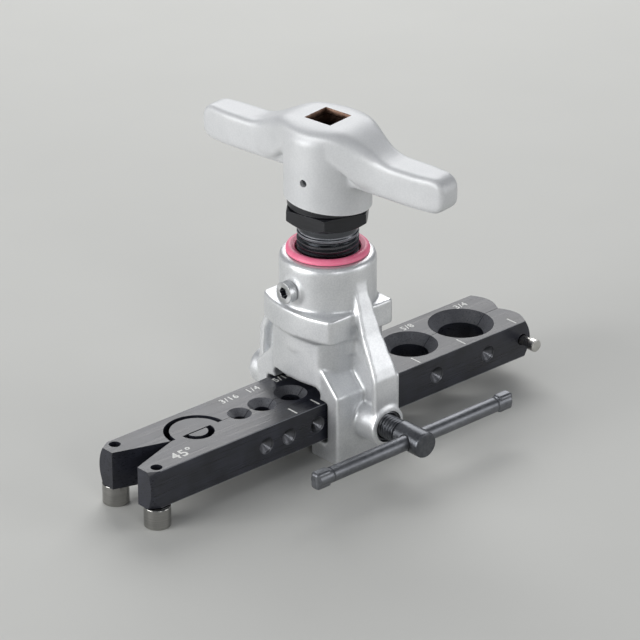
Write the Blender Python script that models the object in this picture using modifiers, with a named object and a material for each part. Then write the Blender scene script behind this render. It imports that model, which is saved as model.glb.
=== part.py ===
"""A flaring tool: a screw yoke that slides along a hinged die bar, in metres with +Z up.

It stands at Z = 0 on two pegs and on the hooks of its yoke. X runs along the die bar, from the pegs to the stop pin,
and the clamp screw points to -Y. The origin is on that ground, under the middle of the bar.
"""

import math

import bmesh
import bpy
from mathutils import Matrix, Vector

for old in list(bpy.data.objects):
    bpy.data.objects.remove(old, do_unlink=True)

# Driving dimensions. Places along X are counted from the spindle axis, heights from the ground.
GAP = 0.0003
INCH = 0.0254
OVERLAP = 0.0006

SPINDLE_X = 0.0035

BAR_LEFT = -0.107
BAR_RIGHT = 0.100
BAR_HALF_WIDTH = 0.01655
BAR_BOTTOM = 0.0091
BAR_TOP = 0.0255
BAR_MIDDLE = (BAR_BOTTOM + BAR_TOP) / 2
BAR_END_RADIUS = 0.01545
BAR_NOSE_RADIUS = 0.013
SPLIT = GAP / 2
TAIL_GAP = 0.0079
TAIL_APEX_X = -0.0833

PIVOT_X = -0.070
LAP_RADIUS = 0.012
LAP_RECESS_UPPER = 0.0134
LAP_RECESS_LOWER = LAP_RADIUS + GAP
MOON_RADIUS = 0.0059
MOON_WINDOW_RADIUS = 0.0072

# Each die: tube size in inches, place along the bar, and diameter of the rim of its flare seat.
DIES = (
    (3 / 16, -0.0476, 0.0100),
    (1 / 4, -0.0356, 0.0119),
    (5 / 16, -0.0203, 0.0137),
    (3 / 8, 0.0, 0.0160),
    (1 / 2, 0.0200, 0.0200),
    (5 / 8, 0.0457, 0.0238),
    (3 / 4, 0.0750, 0.0278),
)
PIT_RADIUS = 0.00325

PEG_X = -0.1015
PEG_Y = 0.0129
PEG_RADIUS = 0.0055
PEG_HOLE_RADIUS = 0.0024
STOP_PIN_X = 0.0951
STOP_PIN_RADIUS = 0.002
STOP_PIN_HEAD_RADIUS = 0.0027
STOP_PIN_REACH = 0.0085
STOP_PIN_DEPTH = 0.007

YOKE_HALF_LENGTH = 0.017
LEG_INNER_Y = 0.0182
LEG_OUTER_Y = 0.0249
LEG_BEVEL_Z = 0.0303
LEG_BEVEL_TOP_Z = 0.0398
HOOK_TIP_Y = 0.0088
HOOK_TOP_Z = 0.0079
SHOULDER_Y = 0.0140
SHOULDER_Z = 0.0262
ARCH_TOP_Z = 0.0315
ARCH_CORNER = 0.0048
SKIRT_CORNER = (0.0158, 0.0182)
SKIRT_BULGE_X = 0.0195
BAND_CORNER = (0.0174, 0.0190)
BAND_BULGE_X = 0.0217
BAND_BOTTOM_Z = 0.0523
BAND_TOP_Z = 0.0634
BARREL_RADIUS = 0.0198
BARREL_TOP_Z = 0.0834
BARREL_SHOULDER = 0.0026
SPINDLE_BORE = 0.0132
NUT_SEAT_RADIUS = 0.0153
NUT_SEAT_Z = 0.046
FLANGE_HALF_WIDTH = 0.0054
FLANGE_THICKNESS = 0.0040
WEB_HALF_WIDTH = 0.0028
FLANGE_LINE = ((0.0185, 0.0735), (0.0260, 0.0552), (0.0318, 0.0449), (0.0352, 0.0385), (0.0360, 0.0340))
BOSS_RADIUS = 0.0085
BOSS_FACE_Y = 0.037
BLANK_BOSS_Y = 0.039

THREAD_RADIUS = 0.0126
THREAD_PITCH = 0.002
THREAD_DEPTH = 0.0008
THREAD_TOP_Z = 0.0902
THREAD_CUT_TURNS = 6
SCREW_BOTTOM_Z = 0.0473
COLLAR_BOTTOM_Z = 0.0975
COLLAR_TOP_Z = 0.1039
COLLAR_FLATS = 0.030
STUB_RADIUS = 0.0080
STUB_TOP_Z = 0.1272
RING_OUTER = 0.0171
RING_INNER = 0.0133
RING_BOTTOM_Z = BARREL_TOP_Z + GAP
RING_TOP_Z = 0.0860

CONE_TIP_Z = 0.0295
CONE_RADIUS = 0.0122
CONE_TOP_Z = 0.0470
SOCKET_RADIUS = 0.0063
SOCKET_FLOOR_Z = 0.0355
PINTLE_RADIUS = 0.0060
PINTLE_END_Z = 0.0406
KEEPER_Z = 0.0430
KEEPER_THICKNESS = 0.0010
THRUST_BALL_RADIUS = 0.0022

HANDLE_TURN = math.radians(8.2)
# Each handle station: distance from the axis, underside, top and half width of the arm there.
HANDLE_STATIONS = (
    (0.0, 0.1182, 0.1411, 0.0150),
    (0.0090, 0.1182, 0.1411, 0.0138),
    (0.0180, 0.1174, 0.1402, 0.0112),
    (0.0270, 0.1167, 0.1362, 0.0088),
    (0.0370, 0.1165, 0.1339, 0.0077),
    (0.0550, 0.1166, 0.1334, 0.0077),
    (0.0620, 0.1186, 0.1320, 0.0066),
    (0.0641, 0.1208, 0.1298, 0.0048),
)
HUB_RADIUS = 0.01705
HUB_BOTTOM_Z = 0.1036
HUB_TOP_Z = 0.1414
# The rim under the hub is cut at a slant: its height on the axis, and the way that it faces.
HUB_RIM_Z = 0.1064
HUB_RIM_NORMAL = Vector((0.094, -0.084, 1))
CLUTCH_CHAMBER_RADIUS = 0.0135
CLUTCH_CHAMBER_TOP_Z = 0.1163
BUSH_RADIUS = 0.0110
BUSH_TOP_Z = 0.1388
SQUARE_DRIVE = 0.5 * INCH
HUB_PIN_ANGLE = math.radians(194.5)
HUB_PIN_Z = 0.1188
HUB_PIN_RADIUS = 0.0013
CLUTCH_PLATE_TOP_Z = 0.1069
CLUTCH_BALL_RADIUS = 0.0016
CLUTCH_BALL_CIRCLE = 0.0109
CLUTCH_BALLS = 3

LOCK_SCREW_Z = 0.0713
LOCK_HEAD_RADIUS = 0.0045
LOCK_HEAD_END_X = 0.0238
LOCK_SHANK_RADIUS = 0.0025

CLAMP_RADIUS = 0.0050
CLAMP_PITCH = 0.0015
CLAMP_CUT_TURNS = 6
CLAMP_TIP_Y = 0.0182
CLAMP_TIP_RADIUS = 0.0030
CLAMP_SHANK_END_Y = 0.0440
CLAMP_HEAD_RADIUS = 0.0055
CLAMP_HEAD_END_Y = 0.0590
CLAMP_BUSH_RADIUS = 0.0064
TOMMY_Y = 0.0515
TOMMY_RADIUS = 0.00315
TOMMY_HALF_LENGTH = 0.0535
TOMMY_TAB_LENGTH = 0.0075
TOMMY_TAB_HALF_HEIGHT = 0.0037
TOMMY_TAB_HALF_THICKNESS = 0.0024

ROUND_SIDES = 40
SMALL_SIDES = 20

# Collections, axes and materials.


def new_collection(name):
    collection = bpy.data.collections.new(name)
    bpy.context.scene.collection.children.link(collection)
    return collection


PARTS = new_collection("flaring_tool")
CUTTERS = new_collection("cutters")
CUTTERS.hide_render = True


def to_collection(obj, collection):
    for old_home in list(obj.users_collection):
        old_home.objects.unlink(obj)
    collection.objects.link(obj)
    return obj


def axis_empty(name, place):
    empty = bpy.data.objects.new(name, None)
    empty.location = place
    empty.empty_display_size = 0.01
    PARTS.objects.link(empty)
    return empty


TOOL_AXIS = axis_empty("spindle_axis", (SPINDLE_X, 0, 0))
PIVOT_AXIS = axis_empty("bar_pivot_axis", (SPINDLE_X + PIVOT_X, 0, 0))
CLAMP_AXIS = axis_empty("clamp_axis", (SPINDLE_X, 0, BAR_MIDDLE))
CLAMP_AXIS.rotation_euler = (math.pi / 2, 0, 0)
bpy.context.view_layer.update()


def linear(part):
    return part / 12.92 if part <= 0.04045 else ((part + 0.055) / 1.055) ** 2.4


def finish_material(name, hex_colour, metallic, roughness):
    material = bpy.data.materials.new(name)
    material.use_nodes = True
    shader = material.node_tree.nodes["Principled BSDF"]
    colour = [linear(int(hex_colour[at : at + 2], 16) / 255) for at in (0, 2, 4)]
    shader.inputs["Base Color"].default_value = (*colour, 1)
    shader.inputs["Metallic"].default_value = metallic
    shader.inputs["Roughness"].default_value = roughness
    material.diffuse_color = (*colour, 1)
    return material


CAST_ALUMINIUM = finish_material("cast_aluminium", "D3D6D9", 1, 0.45)
SATIN_SILVER = finish_material("satin_silver_paint", "C6C9CD", 0.6, 0.4)
BLACK_OXIDE = finish_material("black_oxide_steel", "2B2C2F", 0.8, 0.42)
TURNED_STEEL = finish_material("turned_steel", "C2C1BD", 1, 0.3)
DARK_STEEL = finish_material("phosphated_steel", "55575B", 0.9, 0.45)
BROWN_STEEL = finish_material("oiled_steel", "4A3A33", 0.9, 0.5)
PINK_PLASTIC = finish_material("pink_plastic", "F06A8C", 0, 0.4)
BRONZE = finish_material("bronze", "A8834A", 1, 0.4)


# Modelling helpers. Every shape is first made about the spindle axis, with heights from the ground.


def finished(obj, name, material, axis=TOOL_AXIS, smooth_angle=math.radians(35)):
    """Names a piece, puts its origin on its axis, and gives it its finish."""
    obj.name = name
    obj.data.name = name
    to_collection(obj, PARTS)
    obj.data.materials.clear()
    obj.data.materials.append(material)
    obj.data.shade_smooth()
    obj.data.set_sharp_from_angle(angle=smooth_angle)
    shift = Matrix.Translation(TOOL_AXIS.location) @ obj.matrix_basis
    obj.data.transform(axis.matrix_world.inverted() @ shift)
    obj.matrix_basis = Matrix.Identity(4)
    obj.parent = axis
    return obj


def as_cutter(obj):
    to_collection(obj, CUTTERS)
    obj.hide_render = True
    obj.display_type = "WIRE"
    return obj


def boolean(obj, tool, operation="DIFFERENCE"):
    """Applies one Boolean and removes its tool, so each piece ends as a plain mesh."""
    modifier = obj.modifiers.new(operation.lower(), "BOOLEAN")
    modifier.operation = operation
    modifier.object = as_cutter(tool)
    bpy.context.view_layer.update()
    evaluated = obj.evaluated_get(bpy.context.evaluated_depsgraph_get())
    mesh = bpy.data.meshes.new_from_object(evaluated)
    obj.modifiers.clear()
    obj.data = mesh
    bpy.data.objects.remove(tool, do_unlink=True)
    return obj


def evaluated_mesh(obj):
    """The object with its modifiers or curve turned into a mesh whose loose caps are welded."""
    bpy.context.view_layer.update()
    evaluated = obj.evaluated_get(bpy.context.evaluated_depsgraph_get())
    mesh = bpy.data.meshes.new_from_object(evaluated)
    bm = bmesh.new()
    bm.from_mesh(mesh)
    bmesh.ops.remove_doubles(bm, verts=bm.verts, dist=1e-6)
    bmesh.ops.recalc_face_normals(bm, faces=bm.faces)
    bm.to_mesh(mesh)
    bm.free()
    made = bpy.data.objects.new(obj.name, mesh)
    made.matrix_basis = obj.matrix_basis
    PARTS.objects.link(made)
    bpy.data.objects.remove(obj, do_unlink=True)
    return made


def box(low, high):
    low, high = Vector(low), Vector(high)
    bpy.ops.mesh.primitive_cube_add(size=1, location=(low + high) / 2)
    cube = bpy.context.object
    cube.data.transform(Matrix.Diagonal((*(high - low), 1)))
    return cube


def rod(radius, start, end, sides=SMALL_SIDES):
    """A cylinder between two points."""
    start, end = Vector(start), Vector(end)
    along = end - start
    bpy.ops.mesh.primitive_cylinder_add(
        vertices=sides,
        radius=radius,
        depth=along.length,
        location=(start + end) / 2,
        rotation=along.to_track_quat("Z", "Y").to_euler(),
    )
    return bpy.context.object


def ball(radius, place):
    bpy.ops.mesh.primitive_uv_sphere_add(segments=12, ring_count=8, radius=radius, location=place)
    return bpy.context.object


def turned(profile, sides=ROUND_SIDES, hollow=False):
    """A profile of (radius, height) points, run down its outer side, turned about Z."""
    mesh = bpy.data.meshes.new("profile")
    points = [(radius, 0, height) for radius, height in profile]
    edges = [(at, at + 1) for at in range(len(points) - 1)]
    if hollow:
        edges.append((len(points) - 1, 0))
    mesh.from_pydata(points, edges, [])
    obj = bpy.data.objects.new("turned", mesh)
    PARTS.objects.link(obj)
    screw = obj.modifiers.new("turn", "SCREW")
    screw.steps = sides
    screw.render_steps = sides
    screw.use_merge_vertices = True
    screw.merge_threshold = 1e-5
    return evaluated_mesh(obj)


def prism(outline, low, high):
    """A flat outline of (x, y) points, filled and raised from one height to another."""
    curve = bpy.data.curves.new("outline", "CURVE")
    curve.dimensions = "2D"
    curve.fill_mode = "BOTH"
    curve.extrude = (high - low) / 2
    spline = curve.splines.new("POLY")
    spline.points.add(len(outline) - 1)
    for point, (x, y) in zip(spline.points, outline):
        point.co = (x, y, 0, 1)
    spline.use_cyclic_u = True
    obj = bpy.data.objects.new("prism", curve)
    PARTS.objects.link(obj)
    solid = evaluated_mesh(obj)
    solid.data.transform(Matrix.Translation((0, 0, (low + high) / 2)))
    return solid


def cross_prism(outline, half_length):
    """An outline of (y, z) points raised along X, centred on the spindle."""
    solid = prism(outline, -half_length, half_length)
    solid.data.transform(Matrix(((0, 0, 1, 0), (1, 0, 0, 0), (0, 1, 0, 0), (0, 0, 0, 1))))
    return solid


def arc(centre, radius, start, end, steps):
    angles = [start + (end - start) * at / steps for at in range(steps + 1)]
    return [(centre[0] + radius * math.cos(a), centre[1] + radius * math.sin(a)) for a in angles]


def bulged_block(corner, bulge_x, low, high):
    """A block whose two X faces are shallow arcs through its corners."""
    corner_x, corner_y = corner
    rise = bulge_x - corner_x
    radius = (corner_y**2 + rise**2) / (2 * rise)
    half_angle = math.asin(corner_y / radius)
    right = arc((bulge_x - radius, 0), radius, -half_angle, half_angle, 8)
    left = [(-x, -y) for x, y in right]
    return prism(right + left, low, high)


# Die bar: two black oxide halves, lapped at the pivot, with a half moon that keeps them in step.


def half_outline(side):
    middle_y = (SPLIT + BAR_HALF_WIDTH) / 2
    spread = math.asin((BAR_HALF_WIDTH - SPLIT) / 2 / BAR_NOSE_RADIUS)
    nose = arc((BAR_RIGHT - BAR_NOSE_RADIUS, middle_y), BAR_NOSE_RADIUS, -spread, spread, 10)
    tail = [(BAR_LEFT, BAR_HALF_WIDTH), (BAR_LEFT, TAIL_GAP), (TAIL_APEX_X, SPLIT)]
    return [(x, side * y) for x, y in nose + tail]


def bar_blank():
    """The round blank that the bar's tail end was chamfered on, turned about the bar's length."""
    corner_radius = math.hypot(BAR_HALF_WIDTH, (BAR_TOP - BAR_BOTTOM) / 2) + 0.0006
    chamfer = corner_radius - BAR_END_RADIUS
    profile = (
        (0, BAR_RIGHT + 0.001),
        (corner_radius, BAR_RIGHT + 0.001),
        (corner_radius, BAR_LEFT + chamfer),
        (BAR_END_RADIUS, BAR_LEFT),
        (0, BAR_LEFT),
    )
    blank = turned(profile, sides=48)
    blank.data.transform(Matrix.Rotation(math.pi / 2, 4, "Y"))
    blank.data.transform(Matrix.Translation((0, 0, BAR_MIDDLE)))
    return blank


def die_tool(inches, place, rim):
    bore = inches * INCH / 2
    rim = rim / 2
    above = 0.001
    profile = (
        (0, BAR_TOP + above),
        (rim + above, BAR_TOP + above),
        (bore, BAR_TOP - (rim - bore)),
        (bore, BAR_BOTTOM - above),
        (0, BAR_BOTTOM - above),
    )
    tool = turned(profile, sides=32)
    tool.data.transform(Matrix.Translation((place, 0, 0)))
    return tool


def half_moon(radius, flat_y, low, high):
    """A half disc on the clamp side of the pivot."""
    reach = math.acos(-flat_y / radius) if flat_y < 0 else math.pi - math.acos(flat_y / radius)
    outline = arc((PIVOT_X, 0), radius, -math.pi / 2 - reach, -math.pi / 2 + reach, 16)
    return prism(outline, low, high)


def pivot_disc(radius, low, high):
    return rod(radius, (PIVOT_X, 0, low), (PIVOT_X, 0, high), sides=ROUND_SIDES)


def bar_half(side):
    bar = boolean(prism(half_outline(side), BAR_BOTTOM, BAR_TOP), bar_blank(), "INTERSECT")
    for die in DIES:
        boolean(bar, die_tool(*die))
    hole = rod(PEG_HOLE_RADIUS, (PEG_X, side * PEG_Y, 0), (PEG_X, side * PEG_Y, BAR_TOP + 0.001))
    return boolean(bar, hole)


LAP_Z = BAR_MIDDLE

rear_bar = bar_half(1)
boolean(rear_bar, pivot_disc(LAP_RECESS_UPPER, LAP_Z - SPLIT, BAR_TOP + 0.001))
boolean(rear_bar, pivot_disc(LAP_RADIUS, BAR_BOTTOM, LAP_Z - SPLIT), "UNION")
boolean(rear_bar, half_moon(MOON_RADIUS, -GAP, LAP_Z - SPLIT - OVERLAP, BAR_TOP), "UNION")
finished(rear_bar, "rear_die_bar", BLACK_OXIDE)

front_bar = bar_half(-1)
boolean(front_bar, pivot_disc(LAP_RECESS_LOWER, BAR_BOTTOM - 0.001, LAP_Z + SPLIT))
boolean(front_bar, pivot_disc(LAP_RADIUS, LAP_Z + SPLIT, BAR_TOP), "UNION")
boolean(front_bar, half_moon(MOON_WINDOW_RADIUS, GAP, LAP_Z - OVERLAP, BAR_TOP + 0.001))
for inches, place, rim in DIES:
    bpy.ops.mesh.primitive_cone_add(
        vertices=SMALL_SIDES,
        radius1=PIT_RADIUS + OVERLAP,
        depth=PIT_RADIUS + OVERLAP,
        location=(place, -BAR_HALF_WIDTH + (PIT_RADIUS - OVERLAP) / 2, BAR_MIDDLE),
        rotation=(-math.pi / 2, 0, 0),
    )
    boolean(front_bar, bpy.context.object)
pin_hole = rod(
    STOP_PIN_RADIUS + GAP,
    (STOP_PIN_X, -BAR_HALF_WIDTH - 0.001, BAR_MIDDLE),
    (STOP_PIN_X, -BAR_HALF_WIDTH + STOP_PIN_DEPTH + GAP, BAR_MIDDLE),
)
boolean(front_bar, pin_hole)
finished(front_bar, "front_die_bar", BLACK_OXIDE, PIVOT_AXIS)


def foot_peg(name, side, axis):
    """A turned steel peg whose thin shank is pressed up into the tail."""
    shank = PEG_HOLE_RADIUS - GAP
    chamfer = 0.0006
    profile = (
        (0, BAR_MIDDLE + 0.002),
        (shank, BAR_MIDDLE + 0.002),
        (shank, BAR_BOTTOM - GAP),
        (PEG_RADIUS, BAR_BOTTOM - GAP),
        (PEG_RADIUS, chamfer),
        (PEG_RADIUS - chamfer, 0),
        (0, 0),
    )
    peg = turned(profile, sides=28)
    peg.location = (PEG_X, side * PEG_Y, 0)
    return finished(peg, name, TURNED_STEEL, axis)


foot_peg("rear_foot_peg", 1, TOOL_AXIS)
foot_peg("front_foot_peg", -1, PIVOT_AXIS)

stop_pin = turned(
    (
        (0, STOP_PIN_REACH),
        (STOP_PIN_HEAD_RADIUS - 0.0005, STOP_PIN_REACH),
        (STOP_PIN_HEAD_RADIUS, STOP_PIN_REACH - 0.0005),
        (STOP_PIN_HEAD_RADIUS, STOP_PIN_REACH - 0.0035),
        (STOP_PIN_RADIUS, STOP_PIN_REACH - 0.0035),
        (STOP_PIN_RADIUS, -STOP_PIN_DEPTH),
        (0, -STOP_PIN_DEPTH),
    ),
    sides=SMALL_SIDES,
)
stop_pin.rotation_euler = (math.pi / 2, 0, 0)
stop_pin.location = (STOP_PIN_X, -BAR_HALF_WIDTH, BAR_MIDDLE)
bpy.context.view_layer.update()
finished(stop_pin, "stop_pin", TURNED_STEEL, PIVOT_AXIS)


# Yoke: one aluminium casting, a C frame under a barrel, with a flanged rib down each side.


def c_frame_outline():
    corner = (SHOULDER_Y - ARCH_CORNER, ARCH_TOP_Z - ARCH_CORNER)
    inner = [(HOOK_TIP_Y, 0), (HOOK_TIP_Y, HOOK_TOP_Z), (LEG_INNER_Y, HOOK_TOP_Z)]
    inner += [(LEG_INNER_Y, SHOULDER_Z), (SHOULDER_Y, SHOULDER_Z)]
    inner += arc(corner, ARCH_CORNER, 0, math.pi / 2, 5)
    bevel_in = LEG_OUTER_Y - (LEG_BEVEL_TOP_Z - LEG_BEVEL_Z)
    outer = [(LEG_OUTER_Y, 0), (LEG_OUTER_Y, LEG_BEVEL_Z), (bevel_in, LEG_BEVEL_TOP_Z)]
    right = outer[::-1] + inner
    return right + [(-y, z) for y, z in right[::-1]]


def rib_outline(side, inner_y, thickness):
    """The slanted line of the flange, given a thickness or, as a web, filled in to the body."""
    outer = [(side * y, z) for y, z in FLANGE_LINE]
    outer.append((side * FLANGE_LINE[-1][0], BAR_MIDDLE))
    if thickness:
        inner = [(side * (y - thickness), z - thickness / 2) for y, z in FLANGE_LINE]
        inner.append((side * (FLANGE_LINE[-1][0] - thickness), BAR_MIDDLE))
        return outer + inner[::-1]
    in_leg = LEG_INNER_Y + 0.002
    inner = [(in_leg, BAR_MIDDLE), (in_leg, SHOULDER_Z), (inner_y, LEG_BEVEL_TOP_Z), (inner_y, FLANGE_LINE[0][1])]
    return outer + [(side * y, z) for y, z in inner]


yoke = cross_prism(c_frame_outline(), YOKE_HALF_LENGTH)
skirt = bulged_block(SKIRT_CORNER, SKIRT_BULGE_X, ARCH_TOP_Z + OVERLAP, BAND_BOTTOM_Z + OVERLAP)
boolean(yoke, skirt, "UNION")
boolean(yoke, bulged_block(BAND_CORNER, BAND_BULGE_X, BAND_BOTTOM_Z, BAND_TOP_Z), "UNION")
barrel = turned(
    (
        (0, BARREL_TOP_Z),
        (BARREL_RADIUS - BARREL_SHOULDER, BARREL_TOP_Z),
        (BARREL_RADIUS - BARREL_SHOULDER * 0.29, BARREL_TOP_Z - BARREL_SHOULDER * 0.29),
        (BARREL_RADIUS, BARREL_TOP_Z - BARREL_SHOULDER),
        (BARREL_RADIUS, BAND_BOTTOM_Z - 0.004),
        (0, BAND_BOTTOM_Z - 0.004),
    )
)
boolean(yoke, barrel, "UNION")
for side in (-1, 1):
    boolean(yoke, cross_prism(rib_outline(side, 0.0160, 0), WEB_HALF_WIDTH), "UNION")
    flange = rib_outline(side, None, FLANGE_THICKNESS)
    boolean(yoke, cross_prism(flange, FLANGE_HALF_WIDTH), "UNION")
    boss_end = BOSS_FACE_Y if side < 0 else BLANK_BOSS_Y
    boss_start = (0, side * (LEG_OUTER_Y - 0.002), BAR_MIDDLE)
    boss = rod(BOSS_RADIUS, boss_start, (0, side * boss_end, BAR_MIDDLE), sides=32)
    boolean(yoke, boss, "UNION")
yoke_bore = turned(
    (
        (0, BARREL_TOP_Z + 0.001),
        (NUT_SEAT_RADIUS, BARREL_TOP_Z + 0.001),
        (NUT_SEAT_RADIUS, NUT_SEAT_Z),
        (SPINDLE_BORE, NUT_SEAT_Z),
        (SPINDLE_BORE, SHOULDER_Z),
        (0, SHOULDER_Z),
    )
)
boolean(yoke, yoke_bore)
clamp_bore_start = (0, -LEG_INNER_Y + 0.001, BAR_MIDDLE)
clamp_bore_end = (0, -BOSS_FACE_Y - 0.001, BAR_MIDDLE)
boolean(yoke, rod(CLAMP_BUSH_RADIUS + GAP, clamp_bore_start, clamp_bore_end, sides=28))
lock_hole_start = (-NUT_SEAT_RADIUS + 0.002, 0, LOCK_SCREW_Z)
lock_hole_end = (-BARREL_RADIUS - 0.002, 0, LOCK_SCREW_Z)
boolean(yoke, rod(LOCK_SHANK_RADIUS + GAP, lock_hole_start, lock_hole_end))
finished(yoke, "yoke", CAST_ALUMINIUM)


# Pieces that stay with the yoke: feed nut, ring, lock screw and clamp bush.

feed_nut = turned(
    (
        (NUT_SEAT_RADIUS - GAP, BARREL_TOP_Z - 0.0014),
        (NUT_SEAT_RADIUS - GAP, NUT_SEAT_Z + GAP),
        (THREAD_RADIUS + GAP, NUT_SEAT_Z + GAP),
        (THREAD_RADIUS + GAP, BARREL_TOP_Z - 0.0014),
    ),
    hollow=True,
)
finished(feed_nut, "feed_nut", BRONZE)

ring_chamfer = 0.0014
stop_ring = turned(
    (
        (RING_OUTER - ring_chamfer, RING_TOP_Z),
        (RING_OUTER, RING_TOP_Z - ring_chamfer),
        (RING_OUTER, RING_BOTTOM_Z),
        (RING_INNER, RING_BOTTOM_Z),
        (RING_INNER, RING_TOP_Z),
    ),
    hollow=True,
)
finished(stop_ring, "stop_ring", PINK_PLASTIC)

lock_head_back = BARREL_RADIUS + GAP
lock_screw = turned(
    (
        (0, LOCK_HEAD_END_X),
        (LOCK_HEAD_RADIUS - 0.0006, LOCK_HEAD_END_X),
        (LOCK_HEAD_RADIUS, LOCK_HEAD_END_X - 0.0006),
        (LOCK_HEAD_RADIUS, lock_head_back),
        (LOCK_SHANK_RADIUS, lock_head_back),
        (LOCK_SHANK_RADIUS, NUT_SEAT_RADIUS + GAP),
        (0, NUT_SEAT_RADIUS + GAP),
    ),
    sides=24,
)
hex_key_radius = 0.0040 / math.sqrt(3)
hex_socket = rod(hex_key_radius, (0, 0, LOCK_HEAD_END_X - 0.0028), (0, 0, LOCK_HEAD_END_X + 0.001), sides=6)
boolean(lock_screw, hex_socket)
lock_screw.rotation_euler = (0, -math.pi / 2, 0)
lock_screw.location = (0, 0, LOCK_SCREW_Z)
bpy.context.view_layer.update()
finished(lock_screw, "lock_screw", TURNED_STEEL)

clamp_bush = turned(
    (
        (CLAMP_BUSH_RADIUS, BOSS_FACE_Y - 0.0008),
        (CLAMP_BUSH_RADIUS, LEG_INNER_Y + 0.001),
        (CLAMP_RADIUS + GAP, LEG_INNER_Y + 0.001),
        (CLAMP_RADIUS + GAP, BOSS_FACE_Y - 0.0008),
    ),
    sides=28,
    hollow=True,
)


def on_clamp_axis(obj):
    """Lays a piece turned about Z along the clamp screw, pointing out to -Y."""
    obj.rotation_euler = (math.pi / 2, 0, 0)
    obj.location = (0, 0, BAR_MIDDLE)
    bpy.context.view_layer.update()
    return obj


finished(on_clamp_axis(clamp_bush), "clamp_bush", DARK_STEEL)


# Feed: a cone that turns freely on the end of the feed screw, and the screw with its hexagon collar.


def thread_rings(radius, depth, pitch, top, turns):
    """Profile points of a row of turned V grooves that stand in for a thread."""
    rings = []
    for turn in range(turns):
        rings += [(radius, top - turn * pitch), (radius - depth, top - (turn + 0.5) * pitch)]
    return rings + [(radius, top - turns * pitch)]


keeper_low = KEEPER_Z - GAP
keeper_high = KEEPER_Z + KEEPER_THICKNESS + GAP
socket_groove = SOCKET_RADIUS + 0.0011
flaring_cone = turned(
    (
        (0, SOCKET_FLOOR_Z),
        (SOCKET_RADIUS, SOCKET_FLOOR_Z),
        (SOCKET_RADIUS, keeper_low),
        (socket_groove, keeper_low),
        (socket_groove, keeper_high),
        (SOCKET_RADIUS, keeper_high),
        (SOCKET_RADIUS, CONE_TOP_Z),
        (CONE_RADIUS, CONE_TOP_Z),
        (CONE_RADIUS, CONE_TIP_Z + CONE_RADIUS),
        (0, CONE_TIP_Z),
    ),
    sides=32,
)
finished(flaring_cone, "flaring_cone", TURNED_STEEL)

thrust_ball = ball(THRUST_BALL_RADIUS, (0, 0, (SOCKET_FLOOR_Z + PINTLE_END_Z) / 2))
finished(thrust_ball, "thrust_ball", TURNED_STEEL)

pintle_groove = PINTLE_RADIUS - 0.0010
cone_keeper = turned(
    (
        (socket_groove - GAP, KEEPER_Z + KEEPER_THICKNESS),
        (socket_groove - GAP, KEEPER_Z),
        (pintle_groove + GAP, KEEPER_Z),
        (pintle_groove + GAP, KEEPER_Z + KEEPER_THICKNESS),
    ),
    sides=24,
    hollow=True,
)
finished(cone_keeper, "cone_keeper", DARK_STEEL)

neck_radius = THREAD_RADIUS - 0.0003
screw_profile = [
    (0, STUB_TOP_Z),
    (STUB_RADIUS - 0.0006, STUB_TOP_Z),
    (STUB_RADIUS, STUB_TOP_Z - 0.0006),
    (STUB_RADIUS, COLLAR_BOTTOM_Z - GAP),
    (neck_radius, COLLAR_BOTTOM_Z - GAP),
    (neck_radius, THREAD_TOP_Z + 0.0006),
]
screw_profile += thread_rings(THREAD_RADIUS, THREAD_DEPTH, THREAD_PITCH, THREAD_TOP_Z, THREAD_CUT_TURNS)
screw_profile += [
    (THREAD_RADIUS, SCREW_BOTTOM_Z + 0.0008),
    (THREAD_RADIUS - 0.0008, SCREW_BOTTOM_Z),
    (PINTLE_RADIUS, SCREW_BOTTOM_Z),
    (PINTLE_RADIUS, keeper_high),
    (pintle_groove, keeper_high),
    (pintle_groove, keeper_low),
    (PINTLE_RADIUS, keeper_low),
    (PINTLE_RADIUS, PINTLE_END_Z),
    (0, PINTLE_END_Z),
]
finished(turned(screw_profile, sides=32), "feed_screw", BLACK_OXIDE)

collar_corner = COLLAR_FLATS / math.sqrt(3)
clutch_collar = rod(collar_corner, (0, 0, COLLAR_BOTTOM_Z), (0, 0, COLLAR_TOP_Z), sides=6)
collar_blank = turned(
    (
        (0, COLLAR_TOP_Z + 0.001),
        (COLLAR_FLATS / 2 - 0.0002, COLLAR_TOP_Z + 0.001),
        (COLLAR_FLATS / 2 + 0.0004, COLLAR_TOP_Z - 0.0002),
        (collar_corner + 0.0006, COLLAR_TOP_Z - 0.0014),
        (collar_corner + 0.0006, COLLAR_BOTTOM_Z + 0.0014),
        (COLLAR_FLATS / 2 + 0.0004, COLLAR_BOTTOM_Z + 0.0002),
        (COLLAR_FLATS / 2 - 0.0002, COLLAR_BOTTOM_Z - 0.001),
        (0, COLLAR_BOTTOM_Z - 0.001),
    ),
    sides=36,
)
boolean(clutch_collar, collar_blank, "INTERSECT")
collar_bore = rod(STUB_RADIUS + GAP, (0, 0, COLLAR_BOTTOM_Z - 0.001), (0, 0, COLLAR_TOP_Z + 0.001), sides=36)
boolean(clutch_collar, collar_bore)
finished(clutch_collar, "clutch_collar", BLACK_OXIDE)


# Handle: a cast T handle whose hub holds a ball clutch and a steel bush with a square drive.

HANDLE_FRAME = Matrix.Rotation(HANDLE_TURN - math.pi / 2, 4, "Z")


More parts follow.
